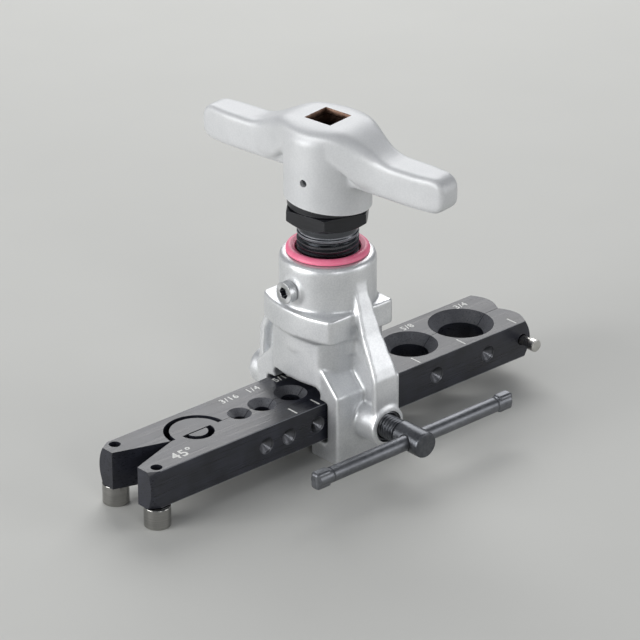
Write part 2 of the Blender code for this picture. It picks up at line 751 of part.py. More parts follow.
def handle_arms():
    """A cage with an eight sided section, shaped at each station and rounded by subdivision."""
    bm = bmesh.new()
    bmesh.ops.create_cube(bm, size=2)
    long_edges = [e for e in bm.edges if abs(e.verts[0].co.x - e.verts[1].co.x) > 1]
    bmesh.ops.bevel(bm, geom=long_edges, offset=0.62, segments=1, affect="EDGES", profile=0.5)
    ends = [station[0] for station in HANDLE_STATIONS]
    for place in sorted({sign * end for end in ends for sign in (-1, 1)}):
        share = place / ends[-1]
        if abs(share) < 1:
            geom = bm.verts[:] + bm.edges[:] + bm.faces[:]
            bmesh.ops.bisect_plane(bm, geom=geom, plane_co=(share, 0, 0), plane_no=(1, 0, 0), dist=1e-6)
    for vert in bm.verts:
        place = vert.co.x * ends[-1]
        _, low, high, half_width = min(HANDLE_STATIONS, key=lambda station: abs(station[0] - abs(place)))
        height = (low + high) / 2 + vert.co.z * (high - low) / 2
        vert.co = (place, vert.co.y * half_width, height)
    mesh = bpy.data.meshes.new("handle_arms")
    bm.to_mesh(mesh)
    bm.free()
    arms = bpy.data.objects.new("handle_arms", mesh)
    PARTS.objects.link(arms)
    smooth = arms.modifiers.new("smooth", "SUBSURF")
    smooth.levels = 1
    smooth.render_levels = 1
    arms = evaluated_mesh(arms)
    arms.data.transform(HANDLE_FRAME)
    return arms


def square_tool(side, low, high):
    tool = box((-side / 2, -side / 2, low), (side / 2, side / 2, high))
    tool.data.transform(Matrix.Translation(tool.location))
    tool.location = (0, 0, 0)
    tool.data.transform(HANDLE_FRAME)
    return tool


def hub_pin_rod(radius, start, end):
    out = Vector((math.cos(HUB_PIN_ANGLE), math.sin(HUB_PIN_ANGLE), 0))
    height = Vector((0, 0, HUB_PIN_Z))
    return rod(radius, out * start + height, out * end + height)


def rim_block(low, high):
    """A wide block that lies at the slant of the hub's rim, between two heights from it."""
    block = box((-0.03, -0.03, low), (0.03, 0.03, high))
    slant = HUB_RIM_NORMAL.to_track_quat("Z", "Y").to_matrix().to_4x4()
    block.matrix_basis = Matrix.Translation((0, 0, HUB_RIM_Z)) @ slant @ Matrix.Translation(block.location)
    return block


handle = turned(
    (
        (0, HUB_TOP_Z),
        (0.0136, HUB_TOP_Z),
        (0.0159, HUB_TOP_Z - 0.0011),
        (HUB_RADIUS, HUB_TOP_Z - 0.0040),
        (HUB_RADIUS, HUB_BOTTOM_Z),
        (0, HUB_BOTTOM_Z),
    )
)
boolean(handle, handle_arms(), "UNION")
boolean(handle, rim_block(-0.02, 0))
hub_cavity = turned(
    (
        (0, BUSH_TOP_Z + GAP),
        (BUSH_RADIUS + GAP, BUSH_TOP_Z + GAP),
        (BUSH_RADIUS + GAP, CLUTCH_CHAMBER_TOP_Z),
        (CLUTCH_CHAMBER_RADIUS, CLUTCH_CHAMBER_TOP_Z),
        (CLUTCH_CHAMBER_RADIUS, HUB_BOTTOM_Z - 0.001),
        (0, HUB_BOTTOM_Z - 0.001),
    ),
    sides=36,
)
boolean(handle, hub_cavity)
boolean(handle, square_tool(SQUARE_DRIVE + GAP, BUSH_TOP_Z, HUB_TOP_Z + 0.002))
boolean(handle, hub_pin_rod(HUB_PIN_RADIUS + GAP, BUSH_RADIUS - 0.001, HUB_RADIUS + 0.002))
finished(handle, "handle", SATIN_SILVER)

bush_bottom = CLUTCH_CHAMBER_TOP_Z + GAP
bearing_top = STUB_TOP_Z + GAP
drive_bush = turned(
    (
        (0, BUSH_TOP_Z),
        (BUSH_RADIUS, BUSH_TOP_Z),
        (BUSH_RADIUS, bush_bottom),
        (STUB_RADIUS + GAP, bush_bottom),
        (STUB_RADIUS + GAP, bearing_top),
        (0, bearing_top),
    ),
    sides=36,
)
boolean(drive_bush, square_tool(SQUARE_DRIVE, bearing_top - 0.001, BUSH_TOP_Z + 0.001))
finished(drive_bush, "drive_bush", BROWN_STEEL)

hub_pin = hub_pin_rod(HUB_PIN_RADIUS, BUSH_RADIUS + GAP, HUB_RADIUS - 0.0012)
finished(hub_pin, "hub_pin", DARK_STEEL)

clutch_inner = STUB_RADIUS + GAP
clutch_outer = CLUTCH_CHAMBER_RADIUS - GAP
clutch_plate = turned(
    (
        (clutch_outer, CLUTCH_PLATE_TOP_Z),
        (clutch_outer, COLLAR_TOP_Z + GAP),
        (clutch_inner, COLLAR_TOP_Z + GAP),
        (clutch_inner, CLUTCH_PLATE_TOP_Z),
    ),
    sides=36,
    hollow=True,
)
wedge_outer = HUB_RADIUS - 0.0006
wedge_inner = clutch_outer - 0.0004
wedge = turned(
    (
        (wedge_outer, HUB_RIM_Z + 0.003),
        (wedge_outer, COLLAR_TOP_Z + GAP),
        (wedge_inner, COLLAR_TOP_Z + GAP),
        (wedge_inner, HUB_RIM_Z + 0.003),
    ),
    sides=36,
    hollow=True,
)
boolean(clutch_plate, boolean(wedge, rim_block(-GAP, 0.02)), "UNION")
finished(clutch_plate, "clutch_plate", BLACK_OXIDE)

ball_z = CLUTCH_PLATE_TOP_Z + GAP + CLUTCH_BALL_RADIUS
for number in range(CLUTCH_BALLS):
    angle = HANDLE_TURN + 2 * math.pi * number / CLUTCH_BALLS
    place = (CLUTCH_BALL_CIRCLE * math.cos(angle), CLUTCH_BALL_CIRCLE * math.sin(angle), ball_z)
    finished(ball(CLUTCH_BALL_RADIUS, place), f"clutch_ball_{number + 1}", TURNED_STEEL)

disc_thickness = 0.0010
disc_rise = 0.0013
disc_low = ball_z + CLUTCH_BALL_RADIUS + GAP
disc_high = CLUTCH_CHAMBER_TOP_Z - GAP - disc_thickness
for name, outer_z, inner_z in (
    ("clutch_spring_lower", disc_low, disc_low + disc_rise),
    ("clutch_spring_upper", disc_high, disc_high - disc_rise),
):
    disc = turned(
        (
            (clutch_outer, outer_z + disc_thickness),
            (clutch_outer, outer_z),
            (clutch_inner, inner_z),
            (clutch_inner, inner_z + disc_thickness),
        ),
        sides=28,
        hollow=True,
    )
    finished(disc, name, DARK_STEEL)


# Clamp: a pointed tip that swivels in the end of the clamp screw, and the sliding tommy bar.

clamp_tip_base = CLAMP_TIP_Y + CLAMP_TIP_RADIUS
tip_shank_radius = 0.0020
tip_shank_end = clamp_tip_base + 0.0058
clamp_tip = turned(
    (
        (0, tip_shank_end),
        (tip_shank_radius, tip_shank_end),
        (tip_shank_radius, clamp_tip_base),
        (CLAMP_TIP_RADIUS, clamp_tip_base),
        (0, CLAMP_TIP_Y),
    ),
    sides=SMALL_SIDES,
)
finished(on_clamp_axis(clamp_tip), "clamp_tip", DARK_STEEL, CLAMP_AXIS)

clamp_start = clamp_tip_base + GAP
clamp_profile = [
    (0, CLAMP_HEAD_END_Y),
    (CLAMP_HEAD_RADIUS - 0.0007, CLAMP_HEAD_END_Y),
    (CLAMP_HEAD_RADIUS, CLAMP_HEAD_END_Y - 0.0007),
    (CLAMP_HEAD_RADIUS, CLAMP_SHANK_END_Y),
]
clamp_profile += thread_rings(CLAMP_RADIUS, 0.0006, CLAMP_PITCH, CLAMP_SHANK_END_Y - 0.0006, CLAMP_CUT_TURNS)
clamp_profile += [
    (CLAMP_RADIUS, clamp_start + 0.0006),
    (CLAMP_RADIUS - 0.0006, clamp_start),
    (tip_shank_radius + GAP, clamp_start),
    (tip_shank_radius + GAP, tip_shank_end + GAP),
    (0, tip_shank_end + GAP),
]
clamp_screw = on_clamp_axis(turned(clamp_profile, sides=24))
tommy_start = Vector((-TOMMY_HALF_LENGTH, -TOMMY_Y, BAR_MIDDLE))
tommy_end = Vector((TOMMY_HALF_LENGTH, -TOMMY_Y, BAR_MIDDLE))
boolean(clamp_screw, rod(TOMMY_RADIUS + GAP, tommy_start, tommy_end, sides=24))
finished(clamp_screw, "clamp_screw", DARK_STEEL, CLAMP_AXIS)

tab_inset = Vector((TOMMY_TAB_LENGTH / 2, 0, 0))
tommy_bar = rod(TOMMY_RADIUS, tommy_start + tab_inset, tommy_end - tab_inset, sides=24)
for side in (-1, 1):
    tab_half = Vector((TOMMY_TAB_LENGTH / 2, TOMMY_TAB_HALF_THICKNESS, TOMMY_TAB_HALF_HEIGHT))
    tab_middle = Vector((side * (TOMMY_HALF_LENGTH - TOMMY_TAB_LENGTH / 2), -TOMMY_Y, BAR_MIDDLE))
    tab = box(tab_middle - tab_half, tab_middle + tab_half)
    rounding = tab.modifiers.new("rounding", "BEVEL")
    rounding.width = 0.0012
    rounding.segments = 2
    boolean(tommy_bar, evaluated_mesh(tab), "UNION")
finished(tommy_bar, "tommy_bar", DARK_STEEL, CLAMP_AXIS)
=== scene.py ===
import math

import bpy
from mathutils import Matrix, Vector


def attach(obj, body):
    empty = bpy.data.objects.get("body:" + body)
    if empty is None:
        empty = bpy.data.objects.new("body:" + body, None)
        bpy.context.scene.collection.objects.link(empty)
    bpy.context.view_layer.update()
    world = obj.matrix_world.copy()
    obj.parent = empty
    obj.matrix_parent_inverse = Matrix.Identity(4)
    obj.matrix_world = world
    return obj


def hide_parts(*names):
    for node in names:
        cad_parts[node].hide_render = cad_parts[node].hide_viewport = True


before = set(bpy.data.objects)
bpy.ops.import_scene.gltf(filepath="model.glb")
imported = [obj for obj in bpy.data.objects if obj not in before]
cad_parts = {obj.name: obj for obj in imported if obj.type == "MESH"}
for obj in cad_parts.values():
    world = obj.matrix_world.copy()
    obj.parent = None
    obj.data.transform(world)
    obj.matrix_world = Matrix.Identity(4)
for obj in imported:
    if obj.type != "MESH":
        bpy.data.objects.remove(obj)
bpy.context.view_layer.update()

# Die bar, rear half. A steel flat with half of every die bored and countersunk in its split face,
# a lower lap at the pivot and a half moon that the front half turns around. Chemically blackened.

MM = 0.001
SPINDLE_X = 3.5 * MM
BAR_LEFT = SPINDLE_X - 107 * MM
BAR_RIGHT = SPINDLE_X + 100 * MM
BAR_HALF_WIDTH = 16.55 * MM
BAR_BOTTOM = 9.1 * MM
BAR_TOP = 25.5 * MM
BAR_MIDDLE = (BAR_BOTTOM + BAR_TOP) / 2
SPLIT = 0.12 * MM
TAIL_GAP = 7.9 * MM
TAIL_APEX_X = SPINDLE_X - 83.3 * MM
PIVOT_X = SPINDLE_X - 70 * MM
LAP_Z = BAR_MIDDLE
PEG_X = SPINDLE_X - 101.5 * MM
PEG_Y = 12.9 * MM

# Tube diameter, place along the bar from the spindle, and rim diameter of the flare seat, in mm.
DIES = (
    (4.76, -47.6, 10.0),
    (6.35, -35.6, 11.9),
    (7.94, -20.3, 13.7),
    (9.53, 0.0, 16.0),
    (12.7, 20.0, 20.0),
    (15.88, 45.7, 23.8),
    (19.05, 75.0, 27.8),
)


def only(piece):
    """Makes a piece the one that the next operators act on."""
    bpy.ops.object.select_all(action="DESELECT")
    piece.select_set(True)
    bpy.context.view_layer.objects.active = piece
    return piece


def settle(piece):
    """Puts a piece's place, turn and scale into its mesh."""
    only(piece)
    bpy.ops.object.transform_apply(location=True, rotation=True, scale=True)
    return piece


def block(low, high):
    """A cube primitive stretched between two corners."""
    low, high = Vector(low), Vector(high)
    bpy.ops.object.select_all(action="DESELECT")
    bpy.ops.mesh.primitive_cube_add(size=1, location=(low + high) / 2, scale=high - low)
    return settle(bpy.context.object)


def rod(radius, start, end, sides=96):
    """A cylinder primitive between two points."""
    start, end = Vector(start), Vector(end)
    along = end - start
    bpy.ops.object.select_all(action="DESELECT")
    bpy.ops.mesh.primitive_cylinder_add(
        vertices=sides,
        radius=radius,
        depth=along.length,
        location=(start + end) / 2,
        rotation=along.to_track_quat("Z", "Y").to_euler(),
    )
    return settle(bpy.context.object)


def outline(profile):
    """A chain of edges, extruded from one point along a profile of (radius, height)."""
    bpy.ops.object.select_all(action="DESELECT")
    bpy.ops.mesh.primitive_plane_add(size=MM)
    piece = bpy.context.object
    bpy.ops.object.mode_set(mode="EDIT")
    bpy.ops.mesh.select_all(action="SELECT")
    bpy.ops.mesh.merge(type="CENTER")
    at = Vector((0, 0, 0))
    for count, (radius, height) in enumerate(profile):
        step = Vector((radius, 0, height)) - at
        if count == 0:
            bpy.ops.transform.translate(value=step)
        else:
            bpy.ops.mesh.extrude_region_move(TRANSFORM_OT_translate={"value": step})
        at += step
    bpy.ops.object.mode_set(mode="OBJECT")
    return piece


def welded(piece, near=0.001 * MM):
    """Merges the points of a closed shell that are near each other and turns its faces outwards."""
    only(piece)
    bpy.ops.object.mode_set(mode="EDIT")
    bpy.ops.mesh.select_all(action="SELECT")
    bpy.ops.mesh.remove_doubles(threshold=near)
    bpy.ops.mesh.normals_make_consistent(inside=False)
    bpy.ops.object.mode_set(mode="OBJECT")
    return piece


def turn(profile, steps=96):
    """Spins an outline about Z, as on a lathe."""
    piece = outline(profile)
    bpy.ops.object.mode_set(mode="EDIT")
    bpy.ops.mesh.select_all(action="SELECT")
    bpy.ops.mesh.spin(steps=steps, angle=2 * math.pi, center=(0, 0, 0), axis=(0, 0, 1))
    bpy.ops.object.mode_set(mode="OBJECT")
    return welded(piece)


def moved(piece, place, turned=(0, 0, 0)):
    piece.location = place
    piece.rotation_euler = turned
    return settle(piece)


def applied(piece, kind, **settings):
    """Adds one modifier, sets it and applies it."""
    modifier = piece.modifiers.new(kind.lower(), kind)
    for name, value in settings.items():
        setattr(modifier, name, value)
    only(piece)
    bpy.ops.object.modifier_apply(modifier=modifier.name)
    return piece


def cut(piece, tool, operation="DIFFERENCE"):
    """Joins, cuts or crosses a piece with a solid, which is used up and leaves its finish on the cut."""
    applied(piece, "BOOLEAN", operation=operation, object=tool, material_mode="TRANSFER")
    bpy.data.objects.remove(tool, do_unlink=True)
    return piece


def sliced(piece, point, outward):
    """Bisects a piece, drops what is on the outward side and fills the cut."""
    only(piece)
    bpy.ops.object.mode_set(mode="EDIT")
    bpy.ops.mesh.select_all(action="SELECT")
    bpy.ops.mesh.bisect(
        plane_co=point, plane_no=outward, use_fill=True, clear_outer=True, threshold=0.0001 * MM
    )
    bpy.ops.object.mode_set(mode="OBJECT")
    return piece


def die_tool(tube, place, rim):
    """The drill and countersink of one die in one, whose slope leaves a paler flare seat."""
    bore, rim, over = tube * MM / 2, rim * MM / 2, MM
    profile = (
        (0, BAR_TOP + over),
        (rim + over, BAR_TOP + over),
        (bore, BAR_TOP - (rim - bore)),
        (bore, BAR_BOTTOM - over),
        (0, BAR_BOTTOM - over),
    )
    tool = dressed(turn(profile), BLACKENED, SEAT_STEEL)
    for face in tool.data.polygons:
        face.material_index = int(0.3 < abs(face.normal.z) < 0.9)
    return moved(tool, (SPINDLE_X + place * MM, 0, 0))


def pivot_disc(radius, low, high):
    return rod(radius, (PIVOT_X, 0, low), (PIVOT_X, 0, high))


def edge_broken(bar, y):
    """Breaks the long edges of a bar's outer side with a file, and paints a highlight on them in the second,
    paler material.
    """
    only(bar)
    bpy.ops.object.mode_set(mode="EDIT")
    bpy.ops.mesh.select_mode(type="EDGE")
    bpy.ops.mesh.select_all(action="DESELECT")
    bpy.ops.object.mode_set(mode="OBJECT")
    near = 0.002 * MM
    for edge in bar.data.edges:
        ends = [bar.data.vertices[number].co for number in edge.vertices]
        outside = all(abs(end.y - y) < near for end in ends)
        level = any(all(abs(end.z - z) < near for end in ends) for z in (BAR_BOTTOM, BAR_TOP))
        edge.select = outside and level
    bpy.ops.object.mode_set(mode="EDIT")
    bpy.ops.mesh.bevel(offset=0.28 * MM, segments=2, material=1)
    bpy.ops.mesh.select_mode(type="VERT")
    bpy.ops.object.mode_set(mode="OBJECT")
    return bar


def bar_half(side):
    """One half of the bar, on the +Y or -Y side of the split."""
    outer, inner = side * BAR_HALF_WIDTH, side * SPLIT
    low_y, high_y = min(outer, inner), max(outer, inner)
    bar = block((BAR_LEFT, low_y, BAR_BOTTOM), (BAR_RIGHT, high_y, BAR_TOP))
    tail_gap = block(
        (BAR_LEFT - MM, -TAIL_GAP * 2, BAR_BOTTOM - MM), (TAIL_APEX_X, TAIL_GAP * 2, BAR_TOP + MM)
    )
    away = (TAIL_GAP - SPLIT, side * (TAIL_APEX_X - BAR_LEFT), 0)
    cut(bar, sliced(tail_gap, (TAIL_APEX_X, inner, BAR_TOP), away))
    blank_radius = 18.8 * MM
    end_radius = 16 * MM
    chamfer = 1.95 * (blank_radius - end_radius)
    blank = turn(
        (
            (0, BAR_RIGHT + MM),
            (blank_radius, BAR_RIGHT + MM),
            (blank_radius, BAR_LEFT + chamfer),
            (end_radius, BAR_LEFT),
            (0, BAR_LEFT),
        ),
        steps=160,
    )
    cut(bar, moved(blank, (0, 0, BAR_MIDDLE), (0, math.pi / 2, 0)), "INTERSECT")
    face_radius, nose_radius = 7.7 * MM, 13 * MM
    nose_start = BAR_RIGHT - 0.88 * (nose_radius - face_radius)
    nose = turn(
        (
            (0, BAR_RIGHT),
            (face_radius, BAR_RIGHT),
            (nose_radius, nose_start),
            (nose_radius, BAR_LEFT - MM),
            (0, BAR_LEFT - MM),
        ),
        steps=128,
    )
    cut(bar, moved(nose, (0, (outer + inner) / 2, BAR_MIDDLE), (0, math.pi / 2, 0)), "INTERSECT")
    edge_broken(dressed(bar, BLACKENED, PAINTED_EDGE_HIGHLIGHT), outer)
    for die in DIES:
        cut(bar, die_tool(*die))
    peg_y = side * PEG_Y
    peg_hole_floor = BAR_MIDDLE + 2.3 * MM
    cut(bar, rod(2.4 * MM, (PEG_X, peg_y, peg_hole_floor), (PEG_X, peg_y, BAR_TOP + MM), sides=48))
    return bar


def half_moon(radius, flat_y, low, high):
    return sliced(pivot_disc(radius, low, high), (PIVOT_X, flat_y, 0), (0, 1, 0))


def linear(hex_colour):
    """An sRGB hex colour as the linear colour that a shader takes."""
    parts = [int(hex_colour[start : start + 2], 16) / 255 for start in (0, 2, 4)]
    return (*[p / 12.92 if p <= 0.04045 else ((p + 0.055) / 1.055) ** 2.4 for p in parts], 1)


def add_node(material, kind, inputs=(), **settings):
    """Adds one shader node with its settings, and a value or a link for each named input."""
    node = material.node_tree.nodes.new(kind)
    for name, value in settings.items():
        setattr(node, name, value)
    for name, value in dict(inputs).items():
        if isinstance(value, bpy.types.NodeSocket):
            material.node_tree.links.new(value, node.inputs[name])
        else:
            node.inputs[name].default_value = value
    return node


def finish(name, **sockets):
    """A new material: its Principled shader takes values for sockets given by name."""
    material = bpy.data.materials.new(name)
    material.use_nodes = True
    shader = material.node_tree.nodes["Principled BSDF"]
    for socket, value in sockets.items():
        shader.inputs[socket.replace("_", " ")].default_value = value
    return material


def linked(material, source, socket):
    material.node_tree.links.new(source, material.node_tree.nodes["Principled BSDF"].inputs[socket])


def blackened_steel(name, dark, light, rough_low, rough_high, line_size):
    """Black oxide on ground steel: a dark glossy skin over fine tool lines, whose size is in mm."""
    material = finish(name, Metallic=0.0, IOR=1.5)
    place = add_node(material, "ShaderNodeTexCoord").outputs["Object"]
    stretch = [1 / (size * MM) for size in line_size]
    lines_at = add_node(material, "ShaderNodeMapping", {"Vector": place, "Scale": stretch})
    lines = add_node(
        material, "ShaderNodeTexNoise", {"Vector": lines_at.outputs[0], "Scale": 1.0, "Detail": 4.0}
    )
    stain_size = 9 * MM
    stains = add_node(
        material, "ShaderNodeTexNoise", {"Vector": place, "Scale": 1 / stain_size, "Detail": 5.0}
    )
    both = add_node(
        material, "ShaderNodeMath", {0: lines.outputs[0], 1: stains.outputs[0]}, operation="MULTIPLY"
    )
    tone = add_node(
        material, "ShaderNodeMapRange", {"Value": both.outputs[0], "From Min": 0.12, "From Max": 0.42}
    )
    colour = add_node(
        material,
        "ShaderNodeMix",
        {0: tone.outputs[0], 6: linear(dark), 7: linear(light)},
        data_type="RGBA",
    )
    linked(material, colour.outputs[2], "Base Color")
    rough = add_node(
        material,
        "ShaderNodeMapRange",
        {
            "Value": lines.outputs[0],
            "From Min": 0.3,
            "From Max": 0.7,
            "To Min": rough_low,
            "To Max": rough_high,
        },
    )
    linked(material, rough.outputs[0], "Roughness")
    bump = add_node(
        material, "ShaderNodeBump", {"Height": lines.outputs[0], "Strength": 0.12, "Distance": 0.02 * MM}
    )
    linked(material, bump.outputs[0], "Normal")
    return material


ALONG_BAR, ALL_ROUND = (30, 0.45, 0.45), (0.6, 0.6, 0.6)
BLACKENED = blackened_steel("black_oxide_ground_steel", "1A1B21", "30323C", 0.25, 0.4, ALONG_BAR)
# A paler copy of the black oxide, painted on bevelled edges as a highlight.
PAINTED_EDGE_HIGHLIGHT = blackened_steel("black_oxide_painted_edge_highlight", "5E6066", "8E9096", 0.3, 0.45, ALONG_BAR)
SEAT_STEEL = blackened_steel("black_oxide_flare_seat", "46474B", "67686D", 0.26, 0.4, ALL_ROUND)


def shaded(piece, angle=35):
    """Shades a piece smooth up to an angle, with its flat faces kept flat."""
    only(piece)
    bpy.ops.object.shade_smooth_by_angle(angle=math.radians(angle))
    return applied(piece, "WEIGHTED_NORMAL", keep_sharp=True)


def edged(piece, width, segments=2, edge_slot=0, angle=35):
    """Breaks every sharp edge, as a file or a tumbler does, and shades the piece smooth."""
    applied(
        welded(piece, 0.02 * MM),
        "BEVEL",
        width=width,
        segments=segments,
        limit_method="ANGLE",
        angle_limit=math.radians(angle),
        material=edge_slot,
    )
    return shaded(piece, angle)


def dressed(piece, *materials):
    piece.data.materials.clear()
    for material in materials:
        piece.data.materials.append(material)
    return piece


UPPER_LAP, UPPER_ROOM = 11 * MM, 13.4 * MM
LOWER_LAP, LOWER_ROOM = 12 * MM, 12.3 * MM
MOON, MOON_WINDOW = 4.6 * MM, 7.2 * MM
MOON_FLAT, WINDOW_FLAT = -0.35 * MM, 0.3 * MM

rear_bar = bar_half(1)
cut(rear_bar, pivot_disc(UPPER_ROOM, LAP_Z - SPLIT, BAR_TOP + MM))
cut(rear_bar, pivot_disc(LOWER_LAP, BAR_BOTTOM, LAP_Z - SPLIT), "UNION")
cut(rear_bar, half_moon(MOON, MOON_FLAT, LAP_Z - MM, BAR_TOP), "UNION")
rear_bar.name = "rear_bar_blackened"
shaded(rear_bar)
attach(rear_bar, "rear_bar_body")
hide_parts("rear_die_bar")


# Die bar, front half. The same flat the other way round, with the upper lap and its half moon window,
# and a conical pit beside every die for the point of the clamp screw.


def turned_steel(name, axis, ring_pitch, dark, light, roughness, streak=0.7):
    """Bright turned steel: fine tool rings around the given axis, as coarse as they need to show."""
    material = finish(name, Metallic=1.0, Anisotropic=streak)
    around = add_node(material, "ShaderNodeTangent", direction_type="RADIAL", axis="XYZ"[axis])
    linked(material, around.outputs[0], "Tangent")
    place = add_node(material, "ShaderNodeTexCoord").outputs["Object"]
    stretch = [1 / (12 * MM)] * 3
    stretch[axis] = 1 / ring_pitch
    rings_at = add_node(material, "ShaderNodeMapping", {"Vector": place, "Scale": stretch})
    rings = add_node(
        material, "ShaderNodeTexNoise", {"Vector": rings_at.outputs[0], "Scale": 1.0, "Detail": 3.0}
    )
    colour = add_node(
        material,
        "ShaderNodeMix",
        {0: rings.outputs[0], 6: linear(dark), 7: linear(light)},
        data_type="RGBA",
    )
    linked(material, colour.outputs[2], "Base Color")
    rough = add_node(
        material,
        "ShaderNodeMapRange",
        {
            "Value": rings.outputs[0],
            "From Min": 0.3,
            "From Max": 0.7,
            "To Min": roughness - 0.06,
            "To Max": roughness + 0.1,
        },
    )
    linked(material, rough.outputs[0], "Roughness")
    bump = add_node(
        material, "ShaderNodeBump", {"Height": rings.outputs[0], "Strength": 0.2, "Distance": 0.02 * MM}
    )
    linked(material, bump.outputs[0], "Normal")
    return material


front_bar = bar_half(-1)
cut(front_bar, pivot_disc(LOWER_ROOM, BAR_BOTTOM - MM, LAP_Z + SPLIT))
cut(front_bar, pivot_disc(UPPER_LAP, LAP_Z + SPLIT, BAR_TOP), "UNION")
cut(front_bar, half_moon(MOON_WINDOW, WINDOW_FLAT, LAP_Z - MM, BAR_TOP + MM))
drilled_steel = turned_steel("drilled_bare_steel", 1, 0.25 * MM, "4E4F53", "7E7F83", 0.36, streak=0)
pit = 3.25 * MM
pit_rim = 0.35 * MM
for _, place, _ in DIES:
    drill = turn(
        (
            (0, pit + MM),
            (pit + pit_rim + MM, pit + MM),
            (pit, pit - pit_rim),
            (pit, pit - 0.6 * MM),
            (0.35 * MM, 0.2 * MM),
            (0, 0.2 * MM),
        ),
        steps=48,
    )
    pit_floor = (SPINDLE_X + place * MM, -BAR_HALF_WIDTH + pit, BAR_MIDDLE)
    cut(front_bar, moved(dressed(drill, drilled_steel), pit_floor, (math.pi / 2, 0, 0)))
STOP_PIN_X = SPINDLE_X + 95.1 * MM
pin_hole_end = (STOP_PIN_X, -BAR_HALF_WIDTH + 7.3 * MM, BAR_MIDDLE)
cut(front_bar, rod(2.5 * MM, (STOP_PIN_X, -BAR_HALF_WIDTH - MM, BAR_MIDDLE), pin_hole_end, sides=48))
front_bar.name = "front_bar_blackened"
shaded(front_bar)
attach(front_bar, "front_bar_body")
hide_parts("front_die_bar")


# Marks on the bar. White paint wiped into shallow engraving: a line for every die on the front half, the
# tube size in inches beside it on the rear half, and the angle of the flare near the tail.

PAINT_HEIGHT = 0.03 * MM

white_paint = finish("white_marking_paint", Metallic=0.0, Roughness=0.55)
paint_place = add_node(white_paint, "ShaderNodeTexCoord").outputs["Object"]
patch_size = 0.5 * MM
patchy = add_node(
    white_paint, "ShaderNodeTexNoise", {"Vector": paint_place, "Scale": 1 / patch_size, "Detail": 3.0}
)
patchy_colour = add_node(
    white_paint,
    "ShaderNodeMix",
    {0: patchy.outputs[0], 6: linear("C9CAC6"), 7: linear("F4F4F0")},
    data_type="RGBA",
)
linked(white_paint, patchy_colour.outputs[2], "Base Color")


def joined(pieces, name):
    """Joins several pieces into one object."""
    only(pieces[0])
    for piece in pieces[1:]:
        piece.select_set(True)
    bpy.ops.object.join()
    pieces[0].name = name
    return pieces[0]


def painted_line(x, y, length, width):
    low = (x - width / 2, y - length / 2, BAR_TOP)
    high = (x + width / 2, y + length / 2, BAR_TOP + PAINT_HEIGHT)
    stroke = block(low, high)
    return applied(stroke, "BEVEL", width=0.012 * MM, segments=2)


def painted_words(words, x, y, height):
    """Plain figures lying on the bar, with their foot towards the clamp side."""
    bpy.ops.object.select_all(action="DESELECT")
    bpy.ops.object.text_add(location=(x, y, BAR_TOP + PAINT_HEIGHT / 2))
    figures = bpy.context.object
    figures.data.body = words
    figures.data.size = height / 0.7
    figures.data.align_x = "CENTER"
    figures.data.align_y = "CENTER"
    figures.data.extrude = PAINT_HEIGHT / 2
    figures.data.offset = 0.03 * height
    figures.data.space_character = 1.14
    bpy.ops.object.convert(target="MESH")
    return settle(figures)


tick_y, tick_shift = -12.7 * MM, 17.3 * MM
tick_length, tick_width = 5.4 * MM, 0.75 * MM
lines = [
    painted_line(SPINDLE_X + place * MM + tick_shift, tick_y, tick_length, tick_width)
    for _, place, _ in DIES
]
lines.append(painted_words("45\u00b0", SPINDLE_X - 86.4 * MM, -10.95 * MM, 4.9 * MM))
front_marks = dressed(joined(lines, "front_bar_marks"), white_paint)
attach(front_marks, "front_bar_body")

sizes = ("3/16", "1/4", "5/16", "3/8", "1/2", "5/8", "3/4")
figure_y, figure_height = 12.2 * MM, 3.2 * MM
figures = []
for (_, place, rim), words in zip(DIES, sizes):
    beside = 1.4 + 0.36 * rim
    figures.append(painted_words(words, SPINDLE_X + (place + beside) * MM, figure_y, figure_height))
rear_marks = dressed(joined(figures, "rear_bar_marks"), white_paint)
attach(rear_marks, "rear_bar_body")


# Foot pegs and stop pin. Bright free-cutting steel turned on a lathe, so each has fine rings left by the
# tool. The pegs are pressed up into the tails, the pin into the side of the front half.

peg_steel = turned_steel("bright_turned_peg_steel", 2, 0.35 * MM, "8C8B88", "B4B3B0", 0.15)
for side, name in ((1, "rear"), (-1, "front")):
    peg = turn(
        (
            (0, BAR_MIDDLE + 2 * MM),
            (2.1 * MM, BAR_MIDDLE + 2 * MM),
            (2.1 * MM, BAR_BOTTOM - 0.25 * MM),
            (5.45 * MM, BAR_BOTTOM - 0.25 * MM),
            (5.45 * MM, 0),
            (0, 0),
        ),
        steps=80,
    )
    peg = dressed(moved(peg, (PEG_X, side * PEG_Y, 0)), peg_steel)
    peg.name = f"{name}_peg_turned"
    edged(peg, 0.45 * MM, segments=3)
    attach(peg, f"{name}_bar_body")
    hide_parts(f"{name}_foot_peg")

pin_steel = turned_steel("bright_turned_pin_steel", 1, 0.3 * MM, "A9A7A2", "D9D8D4", 0.26)
stop_pin = turn(
    (
        (0, 8.5 * MM),
        (2.7 * MM, 8.5 * MM),
        (2.7 * MM, 5.2 * MM),
        (2.05 * MM, 4.7 * MM),
        (2.05 * MM, -7 * MM),
        (0, -7 * MM),
    ),
    steps=64,
)
moved(stop_pin, (STOP_PIN_X, -BAR_HALF_WIDTH, BAR_MIDDLE), (math.pi / 2, 0, 0))
dressed(stop_pin, pin_steel)
stop_pin.name = "stop_pin_turned"
edged(stop_pin, 0.4 * MM, segments=3)
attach(stop_pin, "front_bar_body")
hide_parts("stop_pin")


# Yoke. One aluminium sand casting: a C frame that hooks under the bar, a bulged skirt and band, a round
# barrel for the feed nut, and a flanged rib down each side to a boss. Only its bores are machined.


def at(x, y, z):
    """A place in mm from the spindle axis and the ground, in metres."""
    return Vector((SPINDLE_X + x * MM, y * MM, z * MM))


